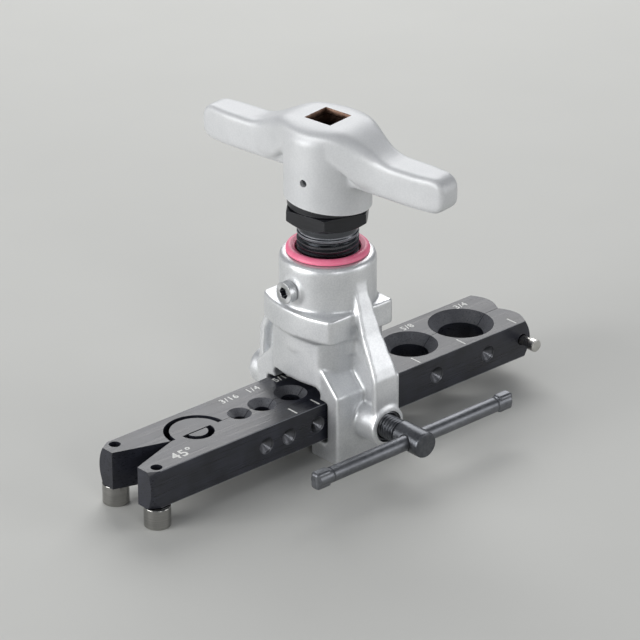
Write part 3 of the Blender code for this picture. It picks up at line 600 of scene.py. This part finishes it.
def rounded_block(half_x, half_y, corner, low, high):
    """A block with its upright corners rounded, extruded up from a rounded plane."""
    bpy.ops.object.select_all(action="DESELECT")
    bpy.ops.mesh.primitive_plane_add(size=2 * MM, location=at(0, 0, low))
    body = settle(bpy.context.object)
    bpy.ops.object.mode_set(mode="EDIT")
    bpy.ops.mesh.select_all(action="SELECT")
    bpy.ops.transform.resize(value=(half_x, half_y, 1), center_override=at(0, 0, low))
    bpy.ops.mesh.bevel(offset=corner * MM, segments=10, affect="VERTICES")
    bpy.ops.mesh.extrude_region_move(TRANSFORM_OT_translate={"value": (0, 0, (high - low) * MM)})
    bpy.ops.object.mode_set(mode="OBJECT")
    return welded(body)


def bulged(half_x, half_y, bulge, low, high, corner):
    """A block whose X faces swell out to the bulge between its rounded corners."""
    radius = (half_y**2 + (bulge - half_x) ** 2) / (2 * (bulge - half_x))
    body = rounded_block(bulge + 1, half_y, corner, low, high)
    for side in (-1, 1):
        middle = side * (bulge - radius)
        cut(body, rod(radius * MM, at(middle, 0, low - 1), at(middle, 0, high + 1), sides=256), "INTERSECT")
    return body


def ribbon(line, side, thickness):
    """A strip extruded edge by edge down a line of (distance out, height, half width), then thickened."""
    out, height, half = line[0]
    start = at(0, side * out, height)
    bpy.ops.object.select_all(action="DESELECT")
    bpy.ops.mesh.primitive_plane_add(size=2 * half * MM, location=start, rotation=(math.pi / 2, 0, 0))
    strip = settle(bpy.context.object)
    bpy.ops.object.mode_set(mode="EDIT")
    bpy.ops.mesh.select_all(action="SELECT")
    bpy.ops.transform.resize(value=(1, 1, 0), center_override=start)
    bpy.ops.mesh.remove_doubles(threshold=0.001 * MM)
    for (old_out, old_height, old_half), (out, height, half) in zip(line, line[1:]):
        step = (0, side * (out - old_out) * MM, (height - old_height) * MM)
        bpy.ops.mesh.extrude_region_move(TRANSFORM_OT_translate={"value": step})
        bpy.ops.transform.resize(value=(half / old_half, 1, 1), center_override=at(0, side * out, height))
    bpy.ops.object.mode_set(mode="OBJECT")
    applied(welded(strip), "SOLIDIFY", thickness=thickness * MM, offset=0, use_even_offset=False)
    return welded(strip)


FRAME_SIDE, CHANNEL_SIDE, CHANNEL_TOP = 24.9, 18.2, 26.2
BOSS_Z, LOCK_Z = 17.3, 71.3
BARREL_TOP, BARREL_RADIUS, BARREL_CORNER = 83.4 * MM, 19.8 * MM, 2.6 * MM
YOKE_VOXEL = 0.6 * MM

frame_block = block(at(-17, -FRAME_SIDE, 0), at(17, FRAME_SIDE, 39.8))
for side in (-1, 1):
    sliced(frame_block, at(0, side * FRAME_SIDE, 30.3), (0, side, 1))
cut(frame_block, block(at(-18, -CHANNEL_SIDE, 7.9), at(18, CHANNEL_SIDE, CHANNEL_TOP)))
cut(frame_block, block(at(-18, -8.8, -1), at(18, 8.8, 8.5)))
arch = block(at(-24, -14, 25), at(24, 14, 31.5))
applied(arch, "BEVEL", width=4.8 * MM, segments=8, limit_method="ANGLE")
skirt = bulged(15.8, 18.2, 19.5, 27.5, 53, 13)
band = bulged(16.8, 20.6, 21.7, 52.3, 63.4, 8.5)
sliced(band, at(16.5, 0, 63.4), (5.4, 0, 5.2))
QUARTER = [math.pi / 2 * (1 - step / 8) for step in range(9)]
barrel_corner = [
    (BARREL_RADIUS - BARREL_CORNER * (1 - math.cos(a)), BARREL_TOP - BARREL_CORNER * (1 - math.sin(a)))
    for a in QUARTER
]
barrel = turn([(0, BARREL_TOP)] + barrel_corner + [(BARREL_RADIUS, 45 * MM), (0, 45 * MM)])
moved(barrel, (SPINDLE_X, 0, 0))
castings = [frame_block, skirt, band, barrel]
flange_line = (
    (17.2, 78.5, 2.6),
    (19.0, 71.5, 3.4),
    (22.2, 62.5, 4.2),
    (25.6, 53.8, 4.9),
    (29.2, 47.2, 5.4),
    (32.2, 41.8, 5.8),
    (33.8, 37.8, 6.1),
    (34.2, 32.0, 6.2),
    (34.2, 18.0, 6.2),
)
boss_end = {-1: 37, 1: 39.3}
for side in (-1, 1):
    castings.append(ribbon(flange_line, side, 3.6))
    web_line = [(out - 6.5, height - 2.0, 2.9) for out, height, _ in flange_line[1:]]
    castings.append(ribbon(web_line, side, 15))
    castings.append(rod(8.5 * MM, at(0, side * 22, BOSS_Z), at(0, side * boss_end[side], BOSS_Z)))
bpy.ops.object.select_all(action="DESELECT")
bpy.ops.mesh.primitive_uv_sphere_add(
    segments=64,
    ring_count=32,
    radius=8.3 * MM,
    location=at(0, boss_end[1] - 0.2, BOSS_Z),
    scale=(1, 0.34, 1),
)
castings.append(settle(bpy.context.object))
castings.append(rod(5.7 * MM, at(-16, 0, LOCK_Z), at(-20, 0, LOCK_Z)))
yoke = joined(castings, "yoke_casting")
applied(yoke, "REMESH", mode="VOXEL", voxel_size=YOKE_VOXEL, adaptivity=0)
cut(yoke, arch)
cut(yoke, block(at(-25, -CHANNEL_SIDE, 8.2), at(25, CHANNEL_SIDE, CHANNEL_TOP)))
applied(yoke, "REMESH", mode="VOXEL", voxel_size=YOKE_VOXEL, adaptivity=0)
applied(yoke, "SMOOTH", factor=0.5, iterations=9)
bore = turn(
    (
        (0, 90 * MM),
        (15.3 * MM, 90 * MM),
        (15.3 * MM, 46 * MM),
        (13.2 * MM, 46 * MM),
        (13.2 * MM, 25 * MM),
        (0, 25 * MM),
    )
)
cut(yoke, moved(bore, (SPINDLE_X, 0, 0)))
cut(yoke, rod(6.7 * MM, at(0, -15, BOSS_Z), at(0, -45, BOSS_Z)))
only(yoke)
bpy.ops.object.shade_smooth_by_angle(angle=math.radians(40))


def cast_aluminium(name, dark, light, metal, roughness, grit, grit_depth):
    """Cast aluminium, bare or painted: bright and matt with a fine grit, with painted shade in its hollows
    and its edges lighter from wear.
    """
    material = finish(name, Metallic=metal)
    place = add_node(material, "ShaderNodeTexCoord").outputs["Object"]
    grain = add_node(material, "ShaderNodeTexNoise", {"Vector": place, "Scale": 1 / grit, "Detail": 4.0})
    cloud_size, fleck_size = 11 * MM, 0.7 * MM
    cloud = add_node(
        material, "ShaderNodeTexNoise", {"Vector": place, "Scale": 1 / cloud_size, "Detail": 4.0}
    )
    # Pointiness paints shade into the hollows and lightens the edges as wear.
    form = add_node(material, "ShaderNodeNewGeometry").outputs["Pointiness"]
    hollow_shade_and_edge_wear = add_node(
        material, "ShaderNodeMapRange", {"Value": form, "From Min": 0.44, "From Max": 0.53}
    )
    tone = add_node(material, "ShaderNodeMath", {0: hollow_shade_and_edge_wear.outputs[0], 1: 0.55}, operation="MULTIPLY")
    tone = add_node(
        material,
        "ShaderNodeMath",
        {0: cloud.outputs[0], 1: 0.5, 2: tone.outputs[0]},
        operation="MULTIPLY_ADD",
    )
    fleck = add_node(
        material, "ShaderNodeTexNoise", {"Vector": place, "Scale": 1 / fleck_size, "Detail": 2.0}
    )
    sparkle = 0.09
    spread = add_node(
        material,
        "ShaderNodeMapRange",
        {
            "Value": fleck.outputs[0],
            "From Min": 0.35,
            "From Max": 0.65,
            "To Min": -sparkle,
            "To Max": sparkle,
        },
    )
    tone = add_node(material, "ShaderNodeMath", {0: tone.outputs[0], 1: spread.outputs[0]}, operation="ADD")
    colour = add_node(
        material,
        "ShaderNodeMix",
        {0: tone.outputs[0], 6: linear(dark), 7: linear(light)},
        data_type="RGBA",
    )
    linked(material, colour.outputs[2], "Base Color")
    rough = add_node(
        material,
        "ShaderNodeMapRange",
        {"Value": grain.outputs[0], "To Min": roughness - 0.08, "To Max": roughness + 0.1},
    )
    linked(material, rough.outputs[0], "Roughness")
    bump = add_node(
        material, "ShaderNodeBump", {"Height": grain.outputs[0], "Strength": 0.4, "Distance": grit_depth}
    )
    linked(material, bump.outputs[0], "Normal")
    return material


raw_casting = cast_aluminium(
    "bead_blasted_cast_aluminium", "B6B9BC", "F0F1F2", 0.75, 0.42, 0.5 * MM, 0.05 * MM
)
dressed(yoke, raw_casting)
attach(yoke, "yoke_body")
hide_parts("yoke")


# Stop ring and feed nut. A pink moulded ring lies on the barrel around the screw, over the bronze nut
# that the screw runs in. Only the nut's top edge shows, down in the gap.

pink = finish("pink_moulded_plastic", Metallic=0.0, IOR=1.5)
pink_place = add_node(pink, "ShaderNodeTexCoord").outputs["Object"]
pink_size = 4 * MM
pink_cloud = add_node(
    pink, "ShaderNodeTexNoise", {"Vector": pink_place, "Scale": 1 / pink_size, "Detail": 3.0}
)
pink_tone = add_node(
    pink,
    "ShaderNodeMix",
    {0: pink_cloud.outputs[0], 6: linear("F0628A"), 7: linear("FB93AE")},
    data_type="RGBA",
)
linked(pink, pink_tone.outputs[2], "Base Color")
pink_rough = add_node(
    pink, "ShaderNodeMapRange", {"Value": pink_cloud.outputs[0], "To Min": 0.34, "To Max": 0.5}
)
linked(pink, pink_rough.outputs[0], "Roughness")
stop_ring = turn(
    (
        (15.2 * MM, 86 * MM),
        (16.1 * MM, 85.8 * MM),
        (16.8 * MM, 85.2 * MM),
        (17.1 * MM, 84.4 * MM),
        (17.1 * MM, 83.7 * MM),
        (13.3 * MM, 83.7 * MM),
        (13.3 * MM, 85.2 * MM),
        (15.2 * MM, 86 * MM),
    ),
    steps=128,
)
stop_ring = dressed(moved(stop_ring, (SPINDLE_X, 0, 0)), pink)
stop_ring.name = "stop_ring_moulded"
edged(stop_ring, 0.35 * MM, segments=3)
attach(stop_ring, "yoke_body")
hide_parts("stop_ring")

nut_bronze = turned_steel("machined_bronze", 2, 0.4 * MM, "7E6032", "A8834A", 0.35)
dressed(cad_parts["feed_nut"], nut_bronze)


# Lock screw. A zinc plated socket head cap screw in a small boss on the barrel, which keeps the feed nut
# from turning. The hexagon socket in its head is painted black for the shade inside it.

screw_steel = turned_steel("zinc_plated_screw_steel", 0, 0.3 * MM, "B4B6B8", "DDDEDF", 0.3)
lock_screw = turn(
    (
        (0, 23.8 * MM),
        (4.5 * MM, 23.8 * MM),
        (4.5 * MM, 20.15 * MM),
        (2.5 * MM, 20.15 * MM),
        (2.5 * MM, 16 * MM),
        (0, 16 * MM),
    ),
    steps=72,
)
dressed(lock_screw, screw_steel)
# The socket's walls are painted black oxide as shade in the recess.
cut(lock_screw, dressed(rod(2.45 * MM, (0, 0, 20.9 * MM), (0, 0, 25 * MM), sides=6), BLACKENED))
moved(lock_screw, at(0, 0, LOCK_Z), (0, -math.pi / 2, 0))
lock_screw.name = "lock_screw_socket_head"
edged(lock_screw, 0.4 * MM, segments=3)
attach(lock_screw, "yoke_body")
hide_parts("lock_screw")


# Clamp bush and clamp screw. A turned steel bush pressed into the near boss carries a pointed screw with a
# round head. The screw is phosphated, a dull dark grey that goes shiny where hands and threads rub it.


def phosphated_steel(name, dark, light, roughness):
    """Phosphate and oil on steel: mottled dark grey with a soft gloss."""
    material = finish(name, Metallic=0.9)
    place = add_node(material, "ShaderNodeTexCoord").outputs["Object"]
    mottle_size, cloud_size = 1.6 * MM, 14 * MM
    mottle = add_node(
        material, "ShaderNodeTexNoise", {"Vector": place, "Scale": 1 / mottle_size, "Detail": 6.0}
    )
    cloud = add_node(
        material, "ShaderNodeTexNoise", {"Vector": place, "Scale": 1 / cloud_size, "Detail": 3.0}
    )
    both = add_node(material, "ShaderNodeMath", {0: mottle.outputs[0], 1: cloud.outputs[0]}, operation="ADD")
    tone = add_node(
        material, "ShaderNodeMapRange", {"Value": both.outputs[0], "From Min": 0.75, "From Max": 1.25}
    )
    colour = add_node(
        material,
        "ShaderNodeMix",
        {0: tone.outputs[0], 6: linear(dark), 7: linear(light)},
        data_type="RGBA",
    )
    linked(material, colour.outputs[2], "Base Color")
    rough = add_node(
        material,
        "ShaderNodeMapRange",
        {
            "Value": mottle.outputs[0],
            "From Min": 0.3,
            "From Max": 0.7,
            "To Min": roughness - 0.07,
            "To Max": roughness + 0.1,
        },
    )
    linked(material, rough.outputs[0], "Roughness")
    bump = add_node(
        material, "ShaderNodeBump", {"Height": mottle.outputs[0], "Strength": 0.12, "Distance": 0.03 * MM}
    )
    linked(material, bump.outputs[0], "Normal")
    return material


PHOSPHATED = phosphated_steel("phosphated_clamp_steel", "54565A", "6C6E72", 0.36)
HEAD_ON = (math.pi / 2, 0, 0)
CLAMP_AXIS = at(0, 0, BOSS_Z)

clamp_bush = turn(
    (
        (5.9 * MM, 36.2 * MM),
        (6.4 * MM, 35.7 * MM),
        (6.4 * MM, 19.3 * MM),
        (5.3 * MM, 19.3 * MM),
        (5.3 * MM, 35.6 * MM),
        (5.9 * MM, 36.2 * MM),
    )
)
bush_steel = turned_steel("turned_bush_steel", 1, 0.3 * MM, "7F8185", "B2B4B8", 0.3)
clamp_bush = dressed(moved(clamp_bush, CLAMP_AXIS, HEAD_ON), bush_steel)
clamp_bush.name = "clamp_bush_turned"
edged(clamp_bush, 0.15 * MM)
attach(clamp_bush, "yoke_body")
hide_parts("clamp_bush")


def threaded(crest, root, pitch, low, high):
    """A right-hand thread: one tooth swept up a helix, then cut square at both ends. It starts a
    part of a turn early, so that neither cut runs through a corner of the sweep."""
    tooth = ((root, 0), (root, 0.08), (crest, 0.42), (crest, 0.58), (root, 0.92), (root, 1))
    early = 2.3794
    turns = math.ceil((high - low) / pitch) + 4
    piece = outline([(radius, low + (share - early) * pitch) for radius, share in tooth])
    applied(piece, "SCREW", screw_offset=pitch, iterations=turns, steps=96, render_steps=96)
    welded(piece)
    sliced(piece, (0, 0, high), (0, 0, 1))
    return welded(sliced(piece, (0, 0, low), (0, 0, -1)))


TOMMY_OUT = 51.5
TOMMY_RADIUS = 3.15
tommy_room = (TOMMY_RADIUS + 0.3) * MM
clamp_head = turn(
    (
        (0, 59 * MM),
        (4.6 * MM, 59 * MM),
        (5.2 * MM, 58.7 * MM),
        (5.5 * MM, 58.0 * MM),
        (5.5 * MM, 45.0 * MM),
        (4.6 * MM, 44.1 * MM),
        (4.2 * MM, 43.4 * MM),
        (0, 43.4 * MM),
    )
)
cut(clamp_head, rod(tommy_room, (-20 * MM, 0, TOMMY_OUT * MM), (20 * MM, 0, TOMMY_OUT * MM), sides=48))
edged(clamp_head, 0.2 * MM)
clamp_thread = threaded(5.0 * MM, 4.25 * MM, 1.5 * MM, 21.5 * MM, 43.8 * MM)
only(clamp_thread)
bpy.ops.object.shade_smooth_by_angle(angle=math.radians(35))
clamp_screw = joined([clamp_head, clamp_thread], "clamp_screw_threaded")
dressed(moved(clamp_screw, CLAMP_AXIS, HEAD_ON), PHOSPHATED)
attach(clamp_screw, "clamp_screw_body")
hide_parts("clamp_screw")

dressed(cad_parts["clamp_tip"], PHOSPHATED)


# Tommy bar. A drawn steel rod that slides in the head of the clamp screw. Both ends are squeezed flat, so
# that it can't fall out, and the squeeze leaves a neck behind each flat.

tommy_steel = phosphated_steel("phosphated_bar_steel", "66686C", "7C7E82", 0.42)
tommy_end = [
    (0, 52.6),
    (2.7, 52.6),
    (TOMMY_RADIUS, 52),
    (TOMMY_RADIUS, 45.36),
    (2.75, 44.9),
    (TOMMY_RADIUS, 44.44),
]
tommy_line = tommy_end + [(radius, -height) for radius, height in reversed(tommy_end)]
tommy_bar = turn([(radius * MM, height * MM) for radius, height in tommy_line], steps=64)
moved(tommy_bar, at(0, -TOMMY_OUT, BOSS_Z), (0, math.pi / 2, 0))
for end in (-1, 1):
    flat = block(at(end * 49.65 - 3.85, -53.9, 13.6), at(end * 49.65 + 3.85, -49.1, 21))
    applied(flat, "BEVEL", width=1.5 * MM, segments=6, limit_method="ANGLE")
    cut(tommy_bar, flat, "UNION")
tommy_bar.name = "tommy_bar_swaged"
shaded(welded(dressed(tommy_bar, tommy_steel), 0.003 * MM))
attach(tommy_bar, "tommy_bar_body")
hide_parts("tommy_bar")


# Flaring cone. A ground and hardened steel cone that turns freely on the end of the screw, over a thrust
# ball, and is held by a spring keeper.

cone_steel = turned_steel("ground_cone_steel", 2, 0.5 * MM, "9C9B98", "D4D3D0", 0.22)
flaring_cone = turn(
    (
        (0, 35.5 * MM),
        (6.3 * MM, 35.5 * MM),
        (6.3 * MM, 47 * MM),
        (12.2 * MM, 47 * MM),
        (12.2 * MM, 41.7 * MM),
        (0.6 * MM, 30.1 * MM),
        (0, 29.8 * MM),
    )
)
flaring_cone = dressed(moved(flaring_cone, (SPINDLE_X, 0, 0)), cone_steel)
flaring_cone.name = "flaring_cone_ground"
edged(flaring_cone, 0.3 * MM, segments=3)
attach(flaring_cone, "cone_body")
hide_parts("flaring_cone")

dressed(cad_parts["thrust_ball"], cone_steel)
dressed(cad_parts["cone_keeper"], PHOSPHATED)


# Feed screw. Blackened alloy steel with a coarse right-hand thread, a plain neck under the hexagon
# collar, a stub that carries the handle and a pintle that carries the cone.

SCREW_BLACK = blackened_steel("black_oxide_turned_steel", "111215", "202126", 0.28, 0.42, (12, 12, 0.4))
screw_steel_dark = turned_steel("oiled_black_screw_steel", 2, 0.4 * MM, "46484C", "66686C", 0.18)
screw_body = turn(
    (
        (0, 127.2 * MM),
        (7.4 * MM, 127.2 * MM),
        (8.0 * MM, 126.6 * MM),
        (8.0 * MM, 97.2 * MM),
        (12.0 * MM, 97.2 * MM),
        (12.0 * MM, 93.1 * MM),
        (12.6 * MM, 92.3 * MM),
        (12.6 * MM, 91.6 * MM),
        (11.5 * MM, 90.4 * MM),
        (11.5 * MM, 47.4 * MM),
        (6.0 * MM, 47.4 * MM),
        (6.0 * MM, 44.4 * MM),
        (5.0 * MM, 44.4 * MM),
        (5.0 * MM, 42.7 * MM),
        (6.0 * MM, 42.7 * MM),
        (6.0 * MM, 40.6 * MM),
        (0, 40.6 * MM),
    )
)
# Its bevelled edges take the paler black oxide as a painted highlight.
dressed(screw_body, screw_steel_dark, PAINTED_EDGE_HIGHLIGHT)
edged(screw_body, 0.25 * MM, edge_slot=1)
# The thread takes a paler copy of the screw steel, painted as the highlight on its flanks.
thread_steel = turned_steel("thread_steel_painted_highlight", 2, 0.4 * MM, "54565A", "7A7C80", 0.26)
screw_thread = dressed(threaded(12.6 * MM, 11.6 * MM, 2 * MM, 48 * MM, 90.6 * MM), thread_steel)
only(screw_thread)
bpy.ops.object.shade_smooth_by_angle(angle=math.radians(35))
feed_screw = joined([screw_body, screw_thread], "feed_screw_threaded")
moved(feed_screw, (SPINDLE_X, 0, 0))
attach(feed_screw, "spindle_body")
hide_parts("feed_screw")


# Hexagon collar. A blackened hexagon with chamfered corners, pinned to the screw under the handle, whose
# edges carry a painted highlight in grey.

hex_flats = 32 * MM
hex_corner = hex_flats / math.sqrt(3)
collar = rod(hex_corner, (0, 0, 97.5 * MM), (0, 0, 103.9 * MM), sides=6)
corner_blank = turn(
    (
        (0, 103.9 * MM),
        (hex_flats / 2 + 1.3 * MM, 103.9 * MM),
        (hex_corner + 0.3 * MM, 103.2 * MM),
        (hex_corner + 0.3 * MM, 99.8 * MM),
        (hex_flats / 2 - 0.1 * MM, 97.5 * MM),
        (0, 97.5 * MM),
    )
)
cut(collar, corner_blank, "INTERSECT")
cut(collar, rod(8.3 * MM, (0, 0, 95 * MM), (0, 0, 106 * MM)))
# Its bevelled edges take the paler black oxide as a painted highlight.
dressed(moved(collar, (SPINDLE_X, 0, 0), (0, 0, math.radians(13.5))), SCREW_BLACK, PAINTED_EDGE_HIGHLIGHT)
collar.name = "hexagon_collar"
edged(collar, 0.18 * MM, edge_slot=1, angle=20)
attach(collar, "spindle_body")
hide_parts("clutch_collar")


# Clutch. A blackened plate under the hub, cut to the slant of the hub's rim, presses three balls against
# two disc springs. It slips when the flare is formed. Only the plate's edge shows, as a black crescent.

RIM_POINT = at(0, 0, 106.4)
RIM_NORMAL = Vector((0.094, -0.084, 1))

clutch_plate = turn(
    (
        (16.1 * MM, 110 * MM),
        (16.4 * MM, 109.7 * MM),
        (16.4 * MM, 104.5 * MM),
        (16.1 * MM, 104.2 * MM),
        (8.3 * MM, 104.2 * MM),
        (8.3 * MM, 110 * MM),
        (16.1 * MM, 110 * MM),
    )
)
moved(clutch_plate, (SPINDLE_X, 0, 0))
sliced(clutch_plate, RIM_POINT - Vector((0, 0, 0.3 * MM)), RIM_NORMAL)
cut(clutch_plate, rod(12.8 * MM, at(0, 0, 106.9), at(0, 0, 112)))
clutch_plate.name = "clutch_plate_slanted"
# Its bevelled edges take the paler black oxide as a painted highlight.
edged(dressed(clutch_plate, SCREW_BLACK, PAINTED_EDGE_HIGHLIGHT), 0.12 * MM, edge_slot=1)
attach(clutch_plate, "handle_body")
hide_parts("clutch_plate")

ball_steel = turned_steel("polished_ball_steel", 2, 0.5 * MM, "B5B4B1", "DEDDDA", 0.14)
for node in ("clutch_ball_1", "clutch_ball_2", "clutch_ball_3"):
    dressed(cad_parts[node], ball_steel)
for node in ("clutch_spring_lower", "clutch_spring_upper", "hub_pin"):
    dressed(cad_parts[node], PHOSPHATED)


# Handle. A cast T with two rounded arms that swell into a round hub, painted satin silver. Its hub is
# bored for the clutch and the drive bush, and a pin locks the bush in it.

ARM_LENGTH = 62.6
ARM_HALF = 7.35
ARM_UNDERSIDE, ARM_TOP = 117.2, 132.3
CROWN_LENGTH = 34
CROWN_RISE = 9.1
HANDLE_TURN = math.radians(8.2 - 90)


def eased(value, start, end):
    """Goes smoothly from 0 at the start to 1 at the end."""
    share = min(max((value - start) / (end - start), 0), 1)
    return share * share * (3 - 2 * share)


def arm_top(out):
    return ARM_TOP + CROWN_RISE * eased(out, 37, 11)


def drawn_in(out, radius):
    """How far an arm's surface is drawn in at a distance out, where its end is rounded off."""
    reach = max(out - (ARM_LENGTH - radius), 0)
    return radius - math.sqrt(max(radius**2 - reach**2, 0))


def arm_section(out):
    """Half width, underside and top of the arms, in mm, at a distance from the hub's middle."""
    nose = drawn_in(out, 6.4)
    half = ARM_HALF - 1.8 * eased(out, 46, ARM_LENGTH) - drawn_in(out, 2.8)
    return half, ARM_UNDERSIDE + nose, arm_top(out) - nose


def crown_section(out):
    """The same for the crown, which widens towards the hub like a lens and thins out below."""
    half = ARM_HALF + 9.2 * eased(out, CROWN_LENGTH, 0)
    return half, 118.6 + 9.5 * eased(out, 25, 8), arm_top(out)


def lofted(section, stations, corner):
    """A section with its corners rounded by a share of its half width, drawn from station to station."""
    bpy.ops.object.select_all(action="DESELECT")
    bpy.ops.mesh.primitive_plane_add(size=2 * MM, rotation=(0, math.pi / 2, 0))
    body = settle(bpy.context.object)
    bpy.ops.object.mode_set(mode="EDIT")
    bpy.ops.mesh.select_all(action="SELECT")
    bpy.ops.mesh.bevel(offset=corner * MM, segments=6, affect="VERTICES")
    old_half, old_tall, old_place = 1, 1, Vector((0, 0, 0))
    for number, out in enumerate([-out for out in stations] + stations[::-1]):
        half, low, high = section(abs(out))
        tall = (high - low) / 2
        place = Vector((out * MM, 0, (low + high) / 2 * MM))
        if number:
            bpy.ops.mesh.extrude_region_move(TRANSFORM_OT_translate={"value": place - old_place})
        else:
            bpy.ops.transform.translate(value=place)
        bpy.ops.transform.resize(value=(1, half / old_half, tall / old_tall), center_override=place)
        old_half, old_tall, old_place = half, tall, place
    bpy.ops.object.mode_set(mode="OBJECT")
    return moved(welded(body), (SPINDLE_X, 0, 0), (0, 0, HANDLE_TURN))


tip_stations = [ARM_LENGTH - back for back in (0.02, 0.15, 0.4, 0.8, 1.4, 2, 2.8, 3.8, 5, 6.6)]
arm_stations = tip_stations + list(range(52, 36, -4)) + list(range(36, 2, -3))
arms = lofted(arm_section, arm_stations, 0.34)
crown = lofted(crown_section, list(range(CROWN_LENGTH, 0, -2)), 0.48)
hub_shoulder = [(13.2 + 4.6 * math.cos(a), 134.7 + 4.6 * math.sin(a)) for a in QUARTER]
hub_line = [(0, 139.3)] + hub_shoulder + [(17.8, 102), (0, 102)]
hub = turn([(radius * MM, height * MM) for radius, height in hub_line])
handle = joined([arms, crown, moved(hub, (SPINDLE_X, 0, 0))], "handle_casting")
applied(handle, "REMESH", mode="VOXEL", voxel_size=0.55 * MM, adaptivity=0)
applied(handle, "SMOOTH", factor=0.5, iterations=18)
sliced(handle, RIM_POINT, -RIM_NORMAL)
hub_bore = turn(
    (
        (0, 139.1 * MM),
        (11.3 * MM, 139.1 * MM),
        (11.3 * MM, 116.3 * MM),
        (13.5 * MM, 116.3 * MM),
        (13.5 * MM, 100 * MM),
        (0, 100 * MM),
    )
)
cut(handle, moved(hub_bore, (SPINDLE_X, 0, 0)))
SQUARE_CORNER = 6.45 * math.sqrt(2)
BROACH_CORNER = 6.35 * math.sqrt(2)
square_hole = turn(
    (
        (0, 143 * MM),
        ((SQUARE_CORNER + 1.9) * MM, 143 * MM),
        (SQUARE_CORNER * MM, 141.1 * MM),
        (SQUARE_CORNER * MM, 137 * MM),
        (0, 137 * MM),
    ),
    steps=4,
)
oiled_steel = phosphated_steel("oiled_brown_steel", "564339", "866C5D", 0.42)
dressed(square_hole, oiled_steel)
pin_turn = math.radians(194.5)
pin_way = Vector((math.cos(pin_turn), math.sin(pin_turn), 0))
pin_middle = at(0, 0, 118.8)
cut(handle, rod(1.6 * MM, pin_middle + pin_way * 9 * MM, pin_middle + pin_way * 19 * MM, sides=48))
silver_paint = cast_aluminium("satin_silver_paint", "B6B8BA", "D8D9DA", 0.2, 0.47, 0.35 * MM, 0.03 * MM)
dressed(handle, silver_paint)
cut(handle, moved(square_hole, (SPINDLE_X, 0, 0), (0, 0, HANDLE_TURN + math.pi / 4)))
only(handle)
bpy.ops.object.shade_smooth_by_angle(angle=math.radians(40))
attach(handle, "handle_body")
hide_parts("handle")


# Drive bush. An oiled steel bush pressed up into the hub, with a broached half inch square for a ratchet
# and a plain bearing for the stub of the screw.

drive_bush = turn(
    (
        (0, 138.8 * MM),
        (11 * MM, 138.8 * MM),
        (11 * MM, 116.6 * MM),
        (8.3 * MM, 116.6 * MM),
        (8.3 * MM, 127.5 * MM),
        (0, 127.5 * MM),
    )
)
broach = turn(
    (
        (0, 140 * MM),
        (BROACH_CORNER * MM, 140 * MM),
        (BROACH_CORNER * MM, 126 * MM),
        (0, 126 * MM),
    ),
    steps=4,
)
cut(drive_bush, moved(broach, (0, 0, 0), (0, 0, HANDLE_TURN + math.pi / 4)))
dressed(moved(drive_bush, (SPINDLE_X, 0, 0)), oiled_steel)
drive_bush.name = "drive_bush_broached"
edged(drive_bush, 0.2 * MM)
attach(drive_bush, "handle_body")
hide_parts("drive_bush")


# Studio. A plain pale floor, a grey room and five soft boxes: behind the tool, over it, to its left, to its
# right and a small one in front. The camera stands where the photographer stood.

bpy.ops.object.select_all(action="DESELECT")
bpy.ops.mesh.primitive_plane_add(size=12, location=(0, 0, 0))
floor = bpy.context.object
floor.name = "studio_floor"
floor_grey = finish("matt_paper_floor", Metallic=0.0, Roughness=0.7)
floor_place = add_node(floor_grey, "ShaderNodeTexCoord").outputs["Object"]
fibre_size = 60 * MM
floor_fibre = add_node(
    floor_grey, "ShaderNodeTexNoise", {"Vector": floor_place, "Scale": 1 / fibre_size, "Detail": 2.0}
)
floor_colour = add_node(
    floor_grey,
    "ShaderNodeMix",
    {0: floor_fibre.outputs[0], 6: linear("C8C8C4"), 7: linear("CCCCC8")},
    data_type="RGBA",
)
linked(floor_grey, floor_colour.outputs[2], "Base Color")
dressed(floor, floor_grey)

room = bpy.data.worlds.new("grey_room")
room.use_nodes = True
room.node_tree.nodes["Background"].inputs["Color"].default_value = linear("D2D7E0")
room.node_tree.nodes["Background"].inputs["Strength"].default_value = 0.22
bpy.context.scene.world = room


def soft_box(name, place, aim, width, height, watts):
    bpy.ops.object.light_add(type="AREA", location=place)
    lamp = bpy.context.object
    lamp.name = name
    lamp.data.shape = "RECTANGLE"
    lamp.data.size = width
    lamp.data.size_y = height
    lamp.data.energy = watts
    lamp.rotation_euler = (Vector(aim) - Vector(place)).to_track_quat("-Z", "Y").to_euler()
    return lamp


soft_box("back_box", (0.62, 0.7, 0.75), (0, 0, 0.05), 1.0, 0.8, 8.8)
soft_box("overhead_box", (-0.3, 0.1, 1.4), (0, 0, 0.05), 1.0, 1.0, 1.5)
soft_box("left_box", (-1.25, 0.3, 0.36), (0, 0, 0.08), 0.9, 0.6, 13.5)
soft_box("right_box", (0.85, -1.05, 0.45), (0, 0, 0.06), 0.7, 0.6, 4.4)
soft_box("front_box", (-0.4, -1.15, 0.56), (0, 0, 0.06), 0.4, 0.35, 2.4)

CAMERA_TURN = math.radians(-41.82)
CAMERA_RISE = math.radians(26.22)
CAMERA_DISTANCE = 1.626
right = Vector((math.cos(CAMERA_TURN), math.sin(CAMERA_TURN), 0))
level = math.cos(CAMERA_RISE)
back = Vector((math.sin(CAMERA_TURN) * level, -math.cos(CAMERA_TURN) * level, math.sin(CAMERA_RISE)))
up = back.cross(right)
bpy.ops.object.camera_add(
    location=CLAMP_AXIS + CAMERA_DISTANCE * back - 3.15 * MM * right + 30.77 * MM * up,
    rotation=(math.pi / 2 - CAMERA_RISE, 0, CAMERA_TURN),
)
camera = bpy.context.object
camera.data.sensor_width = 36
camera.data.lens = 223.6
bpy.context.scene.camera = camera
bpy.context.scene.view_settings.view_transform = "Standard"
